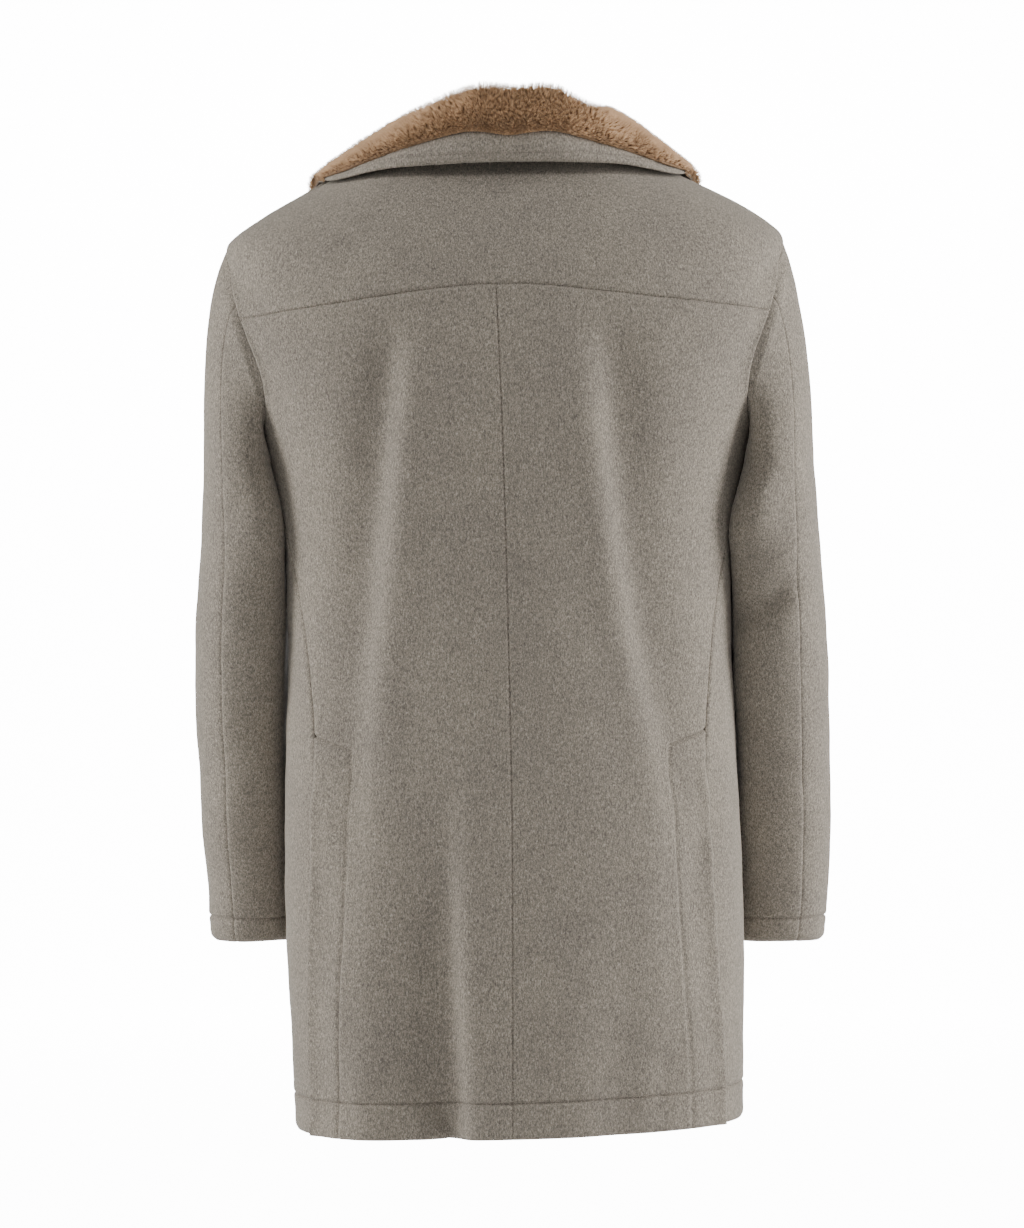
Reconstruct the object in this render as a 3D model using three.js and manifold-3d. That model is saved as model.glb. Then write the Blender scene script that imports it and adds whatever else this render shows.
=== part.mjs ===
// A single-breasted, thigh-length wool coat with a fur collar, as it hangs on a wearer who isn't there.
// Units are millimetres and +Z is up. The wearer faces -Y, so the back is on +Y and the wearer's left on +X.
// The origin is the centre of the neck, at the height of the collar seam.
// Every cloth piece is a wall cut from one smooth form: rings round the body up to the shoulders, and
// rings round each arm. Pieces are a seam gap apart, as cut parts are before they are sewn.
import * as THREE from "three";
import Module from "manifold-3d";
import { mergeVertices } from "three/addons/utils/BufferGeometryUtils.js";

const wasm = await Module();
wasm.setup();

// Driving dimensions
const CLOTH = 3.0; // coating and lining together
const SEAM_GAP = 0.3;
const HEM_Z = -867; // back length from the collar seam
const UNDERARM = { y: 20, z: -256 };
const SHOULDER_TIP = { y: -5, z: -81 };
const NECK_POINT_Z = 3; // where the shoulder seam meets the collar
const NECK_BACK_Z = -14;
const NECK_FRONT_Z = -80;
const FRONT_OVERLAP = 30; // each front passes the centre line by this much
const YOKE = { centreZ: -131, armholeZ: -154 };
const VENT = { topZ: -530, underlap: 42, underlapSlope: 14, cover: 6, rise: 3.6, fade: 30 };
const VENT_RADIUS = 165; // from the body's axis to the vents, which turns widths there into angles
const BUTTON = { radius: 12.5, thick: 4.4, rim: 1.1, well: 8.6, holeRadius: 1.3, holeOffset: 2.9 };
const BUTTON_Z = [-128, -248, -368, -488];
const COLLAR_STAND = 48; // the stand's height behind the neck
const FUR = { outside: 9, roll: 11, inside: 5, edge: 2 };
const CUFF_Z = -711;

// Colours
const COLOURS = {
  wool: { color: 0x857d71, roughness: 0.95, metalness: 0 },
  fur: { color: 0x84664a, roughness: 0.9, metalness: 0 },
  horn: { color: 0x3d3028, roughness: 0.35, metalness: 0 },
};

// Small helpers
const rad = THREE.MathUtils.degToRad;
const lerp = (a, b, t) => a + (b - a) * t;
const clamp = (v, low, high) => Math.min(high, Math.max(low, v));
const smooth = (low, high, v) => {
  const t = clamp((v - low) / (high - low), 0, 1);
  return t * t * (3 - 2 * t);
};
const add = (p, q, k = 1) => [p[0] + q[0] * k, p[1] + q[1] * k, p[2] + q[2] * k];
const sub = (p, q) => add(p, q, -1);
const cross = (p, q) => [
  p[1] * q[2] - p[2] * q[1],
  p[2] * q[0] - p[0] * q[2],
  p[0] * q[1] - p[1] * q[0],
];
const dot = (p, q) => p[0] * q[0] + p[1] * q[1] + p[2] * q[2];
const unit = (p) => {
  const length = Math.hypot(...p);
  return [p[0] / length, p[1] / length, p[2] / length];
};
const steps = (n, from = 0, to = 1) => Array.from({ length: n + 1 }, (_, i) => lerp(from, to, i / n));

// A smooth curve through a table's rows. The first column is where, in rising order; names gives the others.
function table(names, rows) {
  const at = rows.map((row) => row[0]);
  const slope = (i, k) => (rows[i + 1][k] - rows[i][k]) / (at[i + 1] - at[i]);
  const tangent = (i, k) => {
    if (i === 0) return slope(0, k);
    if (i === rows.length - 1) return slope(i - 1, k);
    const before = at[i] - at[i - 1];
    const after = at[i + 1] - at[i];
    return (slope(i - 1, k) * after + slope(i, k) * before) / (before + after);
  };
  return (where) => {
    const x = clamp(where, at[0], at[at.length - 1]);
    let i = 0;
    while (i < at.length - 2 && x > at[i + 1]) i++;
    const width = at[i + 1] - at[i];
    const t = (x - at[i]) / width;
    const found = {};
    names.forEach((name, j) => {
      const k = j + 1;
      found[name] =
        (1 + 2 * t) * (1 - t) ** 2 * rows[i][k] +
        t * (1 - t) ** 2 * width * tangent(i, k) +
        t * t * (3 - 2 * t) * rows[i + 1][k] +
        t * t * (t - 1) * width * tangent(i + 1, k);
    });
    return found;
  };
}

// The body's rings, from the hem to the neck: half its width, its depth behind and before the origin, and
// how square the ring is behind and before. Above the shoulder tip the width is the shoulder line's.
const bodyRing = table(["half", "back", "front", "backSquare", "frontSquare"], [
  [-867, 198, 146, 146, 2.5, 2.4],
  [-777, 201, 143, 142, 2.5, 2.4],
  [-672, 203.5, 140, 138, 2.5, 2.4],
  [-547, 200.5, 133, 133, 2.45, 2.35],
  [-422, 197, 130.5, 129, 2.4, 2.3],
  [-372, 199, 132, 129, 2.4, 2.3],
  [-310, 206, 136, 130, 2.4, 2.3],
  [-256, 219, 138, 130, 2.4, 2.3],
  [-210, 236, 137, 125, 2.4, 2.3],
  [-186, 245, 135, 121, 2.4, 2.3],
  [-150, 251, 130, 111, 2.4, 2.3],
  [-116, 250, 123, 99, 2.35, 2.3],
  [-81, 243, 111, 86, 2.3, 2.2],
  [-62, 218, 103, 78, 2.25, 2.2],
  [-36, 170, 91, 66, 2.2, 2.2],
  [-14, 122, 77, 56, 2.2, 2.2],
  [3, 82, 66, 48, 2.2, 2.2],
]);

// How far the middle of the body stands off the centre plane, how much it leans, and how much it is lifted
// at LIFT_REACH from the middle, at a height.
const LIFT_REACH = 200;
const bodyLean = table(["shift", "tilt", "lift"], [
  [-867, -8.5, 0.028, 3],
  [-724, -5, 0.022, 0],
  [-547, -1, 0.018, 0],
  [-404, 0.8, 0.018, 0],
  [-256, 3, 0.018, 0],
  [-150, 4.5, 0.018, 0],
  [3, 5, 0.02, 0],
]);

// A long soft trough, where its depth is under 0, or ridge. Each row is a height, the x that it passes there
// and its depth.
const fold = (behind, width, rows) => ({ behind, width, path: table(["x", "depth"], rows) });
const FOLDS = [
  fold(true, 21, [
    [-560, 137, 0],
    [-470, 131, -5],
    [-350, 122, -8],
    [-250, 113, -8],
    [-165, 104, 0],
  ]),
  fold(true, 19, [
    [-480, 100, 0],
    [-350, 94, 3],
    [-180, 80, 0],
  ]),
  fold(true, 21, [
    [-560, -137, 0],
    [-470, -124, -5],
    [-350, -106, -7],
    [-250, -93, -7],
    [-165, -84, 0],
  ]),
  fold(true, 19, [
    [-480, -88, 0],
    [-350, -78, 3],
    [-180, -62, 0],
  ]),
  fold(true, 25, [
    [-867, 52, -15],
    [-760, 56, -11],
    [-660, 63, -6],
    [-560, 68, 0],
  ]),
  fold(true, 24, [
    [-867, 104, 5],
    [-740, 104, 3],
    [-620, 102, 0],
  ]),
  fold(true, 24, [
    [-867, 10, 5],
    [-740, 14, 3],
    [-620, 20, 0],
  ]),
  fold(true, 26, [
    [-867, -88, -5],
    [-740, -92, -3],
    [-620, -96, 0],
  ]),
  fold(false, 24, [
    [-867, 108, -9],
    [-700, 110, -6],
    [-520, 116, -5],
    [-330, 112, -6],
    [-200, 104, 0],
  ]),
  fold(false, 24, [
    [-867, -112, -8],
    [-700, -113, -7],
    [-520, -118, -5],
    [-330, -110, -6],
    [-200, -100, 0],
  ]),
];
const FOLD_FADE = 45; // folds die out this near the side, in depth from the centre plane

function foldHeight(x, y, z) {
  let height = 0;
  for (const { behind, width, path } of FOLDS) {
    const { x: centre, depth } = path(z);
    const reach = (x - centre) / width;
    const here = smooth(0, FOLD_FADE, behind ? y : -y);
    height += depth * here * Math.exp(-reach * reach);
  }
  return height;
}

// The body's surface. side is 1 on the wearer's left and -1 on the right. angle is in radians, from 0 at
// the centre back to pi at the centre front.
function bodyPoint(side, angle, z) {
  const ring = bodyRing(z);
  const s = Math.sin(angle);
  const c = Math.cos(angle);
  const depth = c > 0 ? ring.back : ring.front;
  const square = c > 0 ? ring.backSquare : ring.frontSquare;
  let r = ((Math.abs(s) / ring.half) ** square + (Math.abs(c) / depth) ** square) ** (-1 / square);
  r += foldHeight(side * r * s, r * c, z);
  const lean = bodyLean(z);
  const x = side * r * s;
  return [x + lean.shift, r * c, z - x * lean.tilt + lean.lift * (x / LIFT_REACH) ** 2];
}

// Steps for working out a surface's slope: in angle, in height, in a turn, and in a share of the length
const TINY = 1e-3;
const HEIGHT_STEP = 0.1;
const TURN_STEP = 0.01;
const SHARE_STEP = 0.004;
function bodyNormal(side, angle, z) {
  const round = sub(bodyPoint(side, angle + TINY, z), bodyPoint(side, angle - TINY, z));
  const up = sub(bodyPoint(side, angle, z + HEIGHT_STEP), bodyPoint(side, angle, z - HEIGHT_STEP));
  return unit(cross(up, round).map((v) => v * side));
}

// A point lifted off the surface
const raisedPoint = (side, angle, z, raise) =>
  add(bodyPoint(side, angle, z), bodyNormal(side, angle, z), raise);

// The wearer's left front lies over the right one. It starts to lift this far from the centre front, and is
// clear of the right front before it reaches its edge.
const OVERLAP_RISE = CLOTH + 0.9;
const OVERLAP = { liftsAt: 84, clearAt: 52 };
function overlapRaise(side, angle, z) {
  if (side < 0 || Math.cos(angle) > 0) return 0;
  return OVERLAP_RISE * smooth(OVERLAP.liftsAt, OVERLAP.clearAt, bodyRing(z).front * Math.sin(angle));
}

// The angle at which the ring at a height has a given depth y.
function angleAt(y, z) {
  const ring = bodyRing(z);
  const depth = y > 0 ? ring.back : ring.front;
  const square = y > 0 ? ring.backSquare : ring.frontSquare;
  const x = ring.half * (1 - Math.min(1, Math.abs(y) / depth) ** square) ** (1 / square);
  return Math.atan2(x, y);
}

// The seams, each as an angle and a height on the body
const ARMHOLE = { backReach: 62, frontReach: 76, egg: 0.2 };
// turn is 0 at the shoulder tip, pi at the underarm; it runs down the back, and on up the front to 2 pi.
function armhole(turn) {
  const share = (1 - Math.cos(turn)) / 2;
  const z = lerp(SHOULDER_TIP.z, UNDERARM.z, share);
  const reach = Math.sin(turn) > 0 ? ARMHOLE.backReach : ARMHOLE.frontReach;
  const y =
    lerp(SHOULDER_TIP.y, UNDERARM.y, share) + reach * Math.sin(turn) * (1 - ARMHOLE.egg * Math.cos(turn));
  return { angle: angleAt(y, z), z };
}

// The turns at which the yoke, back and front are cut round the armhole; the sleeve's columns match them.
const YOKE_TURN = Math.acos(1 - (2 * (YOKE.armholeZ - SHOULDER_TIP.z)) / (UNDERARM.z - SHOULDER_TIP.z));
const YOKE_ROWS = 6;
const BACK_UPPER_ROWS = 6;
const FRONT_UPPER_ROWS = 10;
const ARMHOLE_TURNS = [
  ...steps(YOKE_ROWS, 0, YOKE_TURN),
  ...steps(BACK_UPPER_ROWS, YOKE_TURN, Math.PI).slice(1),
  ...steps(FRONT_UPPER_ROWS, Math.PI, 2 * Math.PI).slice(1),
];

const sideSeamAngle = table(["angle"], [
  [-867, 62.5],
  [-530, 64.5],
  [-422, 70],
  [-340, 77],
  [-256, (armhole(Math.PI).angle * 180) / Math.PI],
]);
const sideSeam = (z) => rad(sideSeamAngle(z).angle);

const backSeamOffset = table(["x"], [
  [-867, 6],
  [-700, 2],
  [-600, 0],
  [-420, 1],
  [-230, 4],
  [-131, 7],
]);
const backSeam = (z) => Math.asin(backSeamOffset(z).x / bodyRing(z).back);

const frontEdge = (z) => Math.PI + Math.asin(FRONT_OVERLAP / bodyRing(z).front);

const neckHeight = table(["z"], [
  [0, NECK_BACK_Z],
  [45, NECK_BACK_Z + 4],
  [90, NECK_POINT_Z],
  [114, -7],
  [124, -20],
  [135, -39],
  [151, -60],
  [167, -75],
  [180, NECK_FRONT_Z],
]);
const neckline = (angle) => ({ angle, z: neckHeight((angle * 180) / Math.PI).z });

// share is 0 at the centre back seam and 1 at the armhole. The seam starts level and drops more and more.
const YOKE_DROP = { from: 0.05, to: 1.4 };
function yokeSeam(side, share) {
  const drop = smooth(YOKE_DROP.from, YOKE_DROP.to, share) / smooth(YOKE_DROP.from, YOKE_DROP.to, 1);
  return {
    angle: lerp(side * backSeam(YOKE.centreZ), armhole(YOKE_TURN).angle, share),
    z: lerp(YOKE.centreZ, YOKE.armholeZ, drop),
  };
}

// A patch of the body between four borders. Each border takes a share from 0 to 1 and gives {angle, z}.
function patch({ low, high, start, end }) {
  const mix = (u, v, key) =>
    lerp(low(u)[key], high(u)[key], v) +
    lerp(start(v)[key], end(v)[key], u) -
    lerp(lerp(low(0)[key], low(1)[key], u), lerp(high(0)[key], high(1)[key], u), v);
  return (u, v) => ({ angle: mix(u, v, "angle"), z: mix(u, v, "z") });
}

// A closed wall between rows of outer points and the matching inner points
function wallGeometry(outer, inner) {
  const rows = outer.length;
  const columns = outer[0].length;
  const positions = [];
  const triangles = [];
  for (const layer of [outer, inner]) for (const row of layer) for (const p of row) positions.push(...p);
  const at = (layer, i, j) => layer * rows * columns + i * columns + j;
  const quad = (a, b, c, d) => triangles.push(a, b, c, a, c, d);
  for (let i = 0; i < rows - 1; i++)
    for (let j = 0; j < columns - 1; j++) {
      quad(at(0, i, j), at(0, i, j + 1), at(0, i + 1, j + 1), at(0, i + 1, j));
      quad(at(1, i, j), at(1, i + 1, j), at(1, i + 1, j + 1), at(1, i, j + 1));
    }
  for (let j = 0; j < columns - 1; j++) {
    quad(at(0, 0, j), at(1, 0, j), at(1, 0, j + 1), at(0, 0, j + 1));
    quad(at(0, rows - 1, j), at(0, rows - 1, j + 1), at(1, rows - 1, j + 1), at(1, rows - 1, j));
  }
  for (let i = 0; i < rows - 1; i++) {
    quad(at(0, i, 0), at(0, i + 1, 0), at(1, i + 1, 0), at(1, i, 0));
    quad(at(0, i, columns - 1), at(1, i, columns - 1), at(1, i + 1, columns - 1), at(0, i + 1, columns - 1));
  }
  if (signedVolume(positions, triangles) < 0) triangles.reverse();
  const geometry = new THREE.BufferGeometry();
  geometry.setAttribute("position", new THREE.Float32BufferAttribute(positions, 3));
  geometry.setIndex(triangles);
  geometry.computeVertexNormals();
  return geometry;
}

function signedVolume(positions, triangles) {
  const point = (i) => positions.slice(3 * i, 3 * i + 3);
  let volume = 0;
  for (let k = 0; k < triangles.length; k += 3)
    volume += dot(point(triangles[k]), cross(point(triangles[k + 1]), point(triangles[k + 2])));
  return volume / 6;
}

const coat = new THREE.Group();
function addMesh(name, geometry, finish) {
  const mesh = new THREE.Mesh(geometry, new THREE.MeshStandardMaterial(COLOURS[finish]));
  mesh.name = name;
  coat.add(mesh);
  return mesh;
}

// A body panel: rows of {angle, z, raise, side}, walled inwards by the cloth's thickness
function addPanel(name, side, rows) {
  const layer = (depth) =>
    rows.map((row) => row.map((q) => raisedPoint(q.side ?? side, q.angle, q.z, (q.raise ?? 0) - depth)));
  addMesh(name, wallGeometry(layer(0), layer(CLOTH)), "wool");
}

const SIDE_NAMES = { 1: "left", [-1]: "right" };
const HALF_GAP = SEAM_GAP / 2;
const gapAngle = (z) => HALF_GAP / Math.min(bodyRing(z).half, bodyRing(z).back);

// Rows shared by a back and a front below the underarm. The last one runs from the underarm to the centres,
// which it reaches at CENTRE_UNDERARM_Z.
const LOWER_ROWS = 17;
const CENTRE_UNDERARM_Z = -268;
// An edge up from the hem to a height, with its angle at each height
const lowerEdge = (angleOf, top) => (v) => {
  const z = lerp(HEM_Z, top, v);
  return { angle: angleOf(z), z };
};

// The back, in two halves that meet at the centre seam. Below the vent's top its side edge is free: it
// rises off the side seam and covers the front by a little.
const BACK_COLUMNS = 12;
function addBack(side) {
  const seam = (z) => side * backSeam(z) + gapAngle(z);
  const free = (z) => smooth(VENT.topZ - VENT.fade / 2, VENT.topZ - 2 * VENT.fade, z);
  const sideAngle = (z) =>
    sideSeam(z) - gapAngle(z) + (free(z) * VENT.cover) / bodyRing(z).half;
  const rise = (z, angle) => {
    const inwards = (sideAngle(z) - angle) * VENT_RADIUS;
    const low = smooth(VENT.topZ + VENT.fade / 2, VENT.topZ - VENT.fade / 2, z);
    return VENT.rise * low * smooth(VENT.underlap + CLOTH, VENT.underlap - VENT.fade, inwards);
  };
  const lower = patch({
    low: (u) => ({ angle: lerp(seam(HEM_Z), sideAngle(HEM_Z), u), z: HEM_Z }),
    high: (u) => ({
      angle: lerp(seam(CENTRE_UNDERARM_Z), sideAngle(UNDERARM.z), u),
      z: lerp(CENTRE_UNDERARM_Z, UNDERARM.z, u ** 3),
    }),
    start: lowerEdge(seam, CENTRE_UNDERARM_Z),
    end: lowerEdge(sideAngle, UNDERARM.z),
  });
  const upper = patch({
    low: (u) => lower(u, 1),
    high: (u) => {
      const top = yokeSeam(side, u);
      return { angle: top.angle + (1 - u) * gapAngle(top.z), z: top.z - HALF_GAP };
    },
    start: (v) => {
      const z = lerp(CENTRE_UNDERARM_Z, YOKE.centreZ - HALF_GAP, v);
      return { angle: seam(z), z };
    },
    end: (v) => {
      const q = armhole(lerp(Math.PI, YOKE_TURN, v));
      return { angle: q.angle - (1 - v) * gapAngle(q.z), z: q.z - v * HALF_GAP };
    },
  });
  const columns = steps(BACK_COLUMNS);
  const rows = steps(LOWER_ROWS).map((v) => columns.map((u) => lower(u, v)));
  for (const v of steps(BACK_UPPER_ROWS).slice(1)) rows.push(columns.map((u) => upper(u, v)));
  for (const row of rows) for (const q of row) q.raise = rise(q.z, q.angle);
  addPanel("back_" + SIDE_NAMES[side], side, rows);
}

// The vent's underlap lies inside the free edge, under the back and the front's edge.
const UNDERLAP_TUCK = 9; // it reaches this far under the front
const UNDERLAP_CLEAR = 1.8;
const UNDERLAP_ROWS = 10;
const UNDERLAP_COLUMNS = 4;
function addUnderlap(side) {
  const raise = -(CLOTH + UNDERLAP_CLEAR);
  const rows = steps(UNDERLAP_ROWS, HEM_Z + 1, VENT.topZ).map((z) => {
    const slope = VENT.underlapSlope * smooth(VENT.topZ - 1.5 * VENT.fade, VENT.topZ, z);
    const from = sideSeam(z) - (VENT.underlap - slope) / VENT_RADIUS;
    const to = sideSeam(z) + UNDERLAP_TUCK / VENT_RADIUS;
    return steps(UNDERLAP_COLUMNS, from, to).map((angle) => ({ angle, z, raise }));
  });
  addPanel("vent_underlap_" + SIDE_NAMES[side], side, rows);
}

// The yoke crosses the back in one piece, from armhole to armhole, and reaches the neck and shoulders.
const NECK_COLUMNS = 5;
const SHOULDER_COLUMNS = BACK_COLUMNS - NECK_COLUMNS;
const NECK_SHARE = NECK_COLUMNS / BACK_COLUMNS;
// Down the shoulder seam from the neck, share 0, to the shoulder tip, share 1.
const shoulderSeam = (share, towards) => {
  const z = lerp(NECK_POINT_Z, SHOULDER_TIP.z, share);
  const tip = armhole(towards > 0 ? 0 : 2 * Math.PI).angle;
  return { angle: lerp(Math.PI / 2, tip, share) - towards * gapAngle(z), z };
};
function addYoke() {
  const half = (side) => patch({
    low: (u) => ({ angle: yokeSeam(side, u).angle, z: yokeSeam(side, u).z + HALF_GAP }),
    high: (u) =>
      u < NECK_SHARE
        ? neckline(((Math.PI / 2) * u) / NECK_SHARE - (gapAngle(NECK_POINT_Z) * u) / NECK_SHARE)
        : shoulderSeam((u - NECK_SHARE) / (1 - NECK_SHARE), 1),
    start: (v) => ({
      angle: lerp(side * backSeam(YOKE.centreZ), 0, v),
      z: lerp(YOKE.centreZ + HALF_GAP, NECK_BACK_Z, v),
    }),
    end: (v) => {
      const q = armhole(lerp(YOKE_TURN, 0, v));
      return { angle: q.angle - v * gapAngle(q.z), z: q.z + (1 - v) * HALF_GAP };
    },
  });
  const rows = steps(YOKE_ROWS).map((v) => {
    const columns = steps(BACK_COLUMNS);
    const left = columns.map((u) => ({ ...half(1)(u, v), side: 1 }));
    const right = columns.slice(1).map((u) => ({ ...half(-1)(u, v), side: -1 }));
    return [...right.reverse(), ...left];
  });
  addPanel("back_yoke", 1, rows);
}

// The fronts reach from the side seam and armhole to the front edge, and over the shoulder's front half.
const FRONT_NECK_COLUMNS = 7;
const FRONT_COLUMNS = FRONT_NECK_COLUMNS + SHOULDER_COLUMNS;
const SHOULDER_SHARE = SHOULDER_COLUMNS / FRONT_COLUMNS;
function addFront(side) {
  const seam = (z) => sideSeam(z) + gapAngle(z);
  const lower = patch({
    low: (u) => ({ angle: lerp(seam(HEM_Z), frontEdge(HEM_Z), u), z: HEM_Z }),
    high: (u) => ({
      angle: lerp(seam(UNDERARM.z), frontEdge(CENTRE_UNDERARM_Z), u),
      z: lerp(UNDERARM.z, CENTRE_UNDERARM_Z, 1 - (1 - u) ** 4),
    }),
    start: lowerEdge(seam, UNDERARM.z),
    end: lowerEdge(frontEdge, CENTRE_UNDERARM_Z),
  });
  const upper = patch({
    low: (u) => lower(u, 1),
    high: (u) =>
      u < SHOULDER_SHARE
        ? shoulderSeam(1 - u / SHOULDER_SHARE, -1)
        : neckline(
            lerp(
              Math.PI / 2 + gapAngle(NECK_POINT_Z),
              frontEdge(NECK_FRONT_Z),
              (u - SHOULDER_SHARE) / (1 - SHOULDER_SHARE),
            ),
          ),
    start: (v) => {
      const q = armhole(lerp(Math.PI, 2 * Math.PI, v));
      return { angle: q.angle + gapAngle(q.z), z: q.z };
    },
    end: (v) => {
      const z = lerp(CENTRE_UNDERARM_Z, NECK_FRONT_Z, v);
      return { angle: frontEdge(z), z };
    },
  });
  const columns = steps(FRONT_COLUMNS);
  const rows = steps(LOWER_ROWS).map((v) => columns.map((u) => lower(u, v)));
  for (const v of steps(FRONT_UPPER_ROWS).slice(1)) rows.push(columns.map((u) => upper(u, v)));
  for (const row of rows) for (const q of row) q.raise = overlapRaise(side, q.angle, q.z);
  addPanel("front_" + SIDE_NAMES[side], side, rows);
}

// The sleeves. A ring's turn is 0 at the outside of the arm, pi / 2 behind, pi at the inside.
const sleeveRing = {
  1: table(["x", "y", "halfWidth", "halfDepth"], [
    [CUFF_Z, 230.5, -88, 40, 49],
    [-672, 233, -76, 39.5, 52],
    [-610, 236, -58, 41.5, 57],
    [-547, 236.5, -41, 43, 62],
    [-484, 237, -27, 44.5, 66],
    [-422, 236, -15, 44, 69],
    [-372, 234, -9, 42, 72],
    [-285, 239.5, -4, 32.5, 77],
  ]),
  [-1]: table(["x", "y", "halfWidth", "halfDepth"], [
    [CUFF_Z, 241, -88, 43.5, 49],
    [-672, 244, -76, 43.5, 52],
    [-610, 243, -58, 46.5, 57],
    [-547, 240.5, -41, 47, 62],
    [-484, 238, -27, 47.5, 66],
    [-422, 236.5, -15, 46, 69],
    [-372, 235, -9, 43, 72],
    [-285, 235.5, -4, 34.5, 77],
  ]),
};
const SLEEVE_TOP_Z = -285; // the first whole ring, just under the armhole
const SLEEVE_SQUARE = 2.25;
const CUFF_TUCK = 3; // the cuff's edge turns in by this much
const CUFF_TURN = 9; // over this height

// Creases across the arm: at a height and a turn, how deep and how tall
const ARM_CREASES = {
  1: [
    { z: -560, turn: 60, depth: -4, tall: 22, wide: 50 },
    { z: -520, turn: 150, depth: -3, tall: 18, wide: 60 },
    { z: -455, turn: 250, depth: -5, tall: 20, wide: 60 },
  ],
  [-1]: [
    { z: -432, turn: 70, depth: -5, tall: 20, wide: 55 },
    { z: -395, turn: 40, depth: 3, tall: 26, wide: 50 },
    { z: -470, turn: 255, depth: -5, tall: 20, wide: 60 },
  ],
};

function armRingPoint(side, turn, z) {
  const ring = sleeveRing[side](z);
  const c = Math.cos(turn);
  const s = Math.sin(turn);
  let r = (Math.abs(c) ** SLEEVE_SQUARE + Math.abs(s) ** SLEEVE_SQUARE) ** (-1 / SLEEVE_SQUARE);
  for (const crease of ARM_CREASES[side]) {
    const across = Math.atan2(Math.sin(turn - rad(crease.turn)), Math.cos(turn - rad(crease.turn)));
    const reach = ((z - crease.z) / crease.tall) ** 2 + (across / rad(crease.wide)) ** 2;
    r += (crease.depth / ring.halfDepth) * Math.exp(-reach);
  }
  r -= (CUFF_TUCK / ring.halfWidth) * smooth(CUFF_Z + CUFF_TURN, CUFF_Z, z) ** 2;
  const y = ring.y + ring.halfDepth * r * s;
  const x = ring.x + ring.halfWidth * r * c;
  return [side * pressedOut(x, bodyReach(side, y, z) + ARM_CLEAR), y, z];
}

// Where the arm touches the body, the sleeve is pressed flat against it: x goes smoothly over to the limit.
const ARM_CLEAR = 2.2;
const PRESS_SOFTNESS = 3;
const pressedOut = (x, limit) => (x + limit + Math.hypot(x - limit, PRESS_SOFTNESS)) / 2;
// How far out the body is at a depth y
function bodyReach(side, y, z) {
  const p = bodyPoint(side, angleAt(y, z), z);
  return p[0] * side;
}

// The body's edge at the armhole: the point, the body's normal there, and the way out of the body's cloth.
function armholeFrame(side, turn) {
  const at = (t) => {
    const q = armhole(t);
    return bodyPoint(side, q.angle, q.z);
  };
  const q = armhole(turn);
  const normal = bodyNormal(side, q.angle, q.z);
  const along = sub(at(turn + TURN_STEP), at(turn - TURN_STEP));
  const across = unit(cross(normal, along));
  const sideways = Math.abs(across[0]) > 0.2;
  const inwards = sideways ? across[0] * side < 0 : across[2] * Math.cos(turn) > 0;
  return { point: at(turn), normal, out: inwards ? across.map((v) => -v) : across };
}

// The cap runs from the armhole to the first ring, on a curve. It leaves the armhole down and outwards, more
// so under the arm, and drawn in a little before and behind.
const SLEEVE_GAP = 0.45;
const CAP_SHARE = 0.34; // of the sleeve's length
const CAP_FULLNESS = 0.95;
const CAP_OUT = { 1: 0.4, [-1]: 0.33, low: 0.8 };
const CAP_DOWN = { top: -0.9, low: -0.6 };
const CAP_IN = { behind: -0.3, before: -0.15 };
function sleevePoint(side, turn, share) {
  if (share >= CAP_SHARE) {
    const z = lerp(SLEEVE_TOP_Z, CUFF_Z, (share - CAP_SHARE) / (1 - CAP_SHARE));
    return armRingPoint(side, turn, z);
  }
  const frame = armholeFrame(side, turn);
  const start = add(frame.point, frame.out, SLEEVE_GAP);
  const end = armRingPoint(side, turn, SLEEVE_TOP_Z);
  const low = (1 - Math.cos(turn)) / 2;
  const behind = Math.sin(turn);
  const away = unit([
    side * lerp(CAP_OUT[side], CAP_OUT.low, low),
    behind * (behind > 0 ? CAP_IN.behind : CAP_IN.before),
    lerp(CAP_DOWN.top, CAP_DOWN.low, low),
  ]);
  const length = Math.hypot(...sub(end, start)) * CAP_FULLNESS;
  const t = share / CAP_SHARE;
  return [0, 1, 2].map(
    (k) =>
      (1 + 2 * t) * (1 - t) ** 2 * start[k] +
      t * (1 - t) ** 2 * length * away[k] +
      t * t * (3 - 2 * t) * end[k] +
      t * t * (t - 1) * length * (k === 2 ? -1 : 0),
  );
}

function sleeveNormal(side, turn, share) {
  const round = sub(sleevePoint(side, turn + TURN_STEP, share), sleevePoint(side, turn - TURN_STEP, share));
  const from = Math.max(0, share - SHARE_STEP);
  const to = Math.min(1, share + SHARE_STEP);
  const down = sub(sleevePoint(side, turn, to), sleevePoint(side, turn, from));
  return unit(cross(round, down).map((v) => v * side * -1));
}

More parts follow.
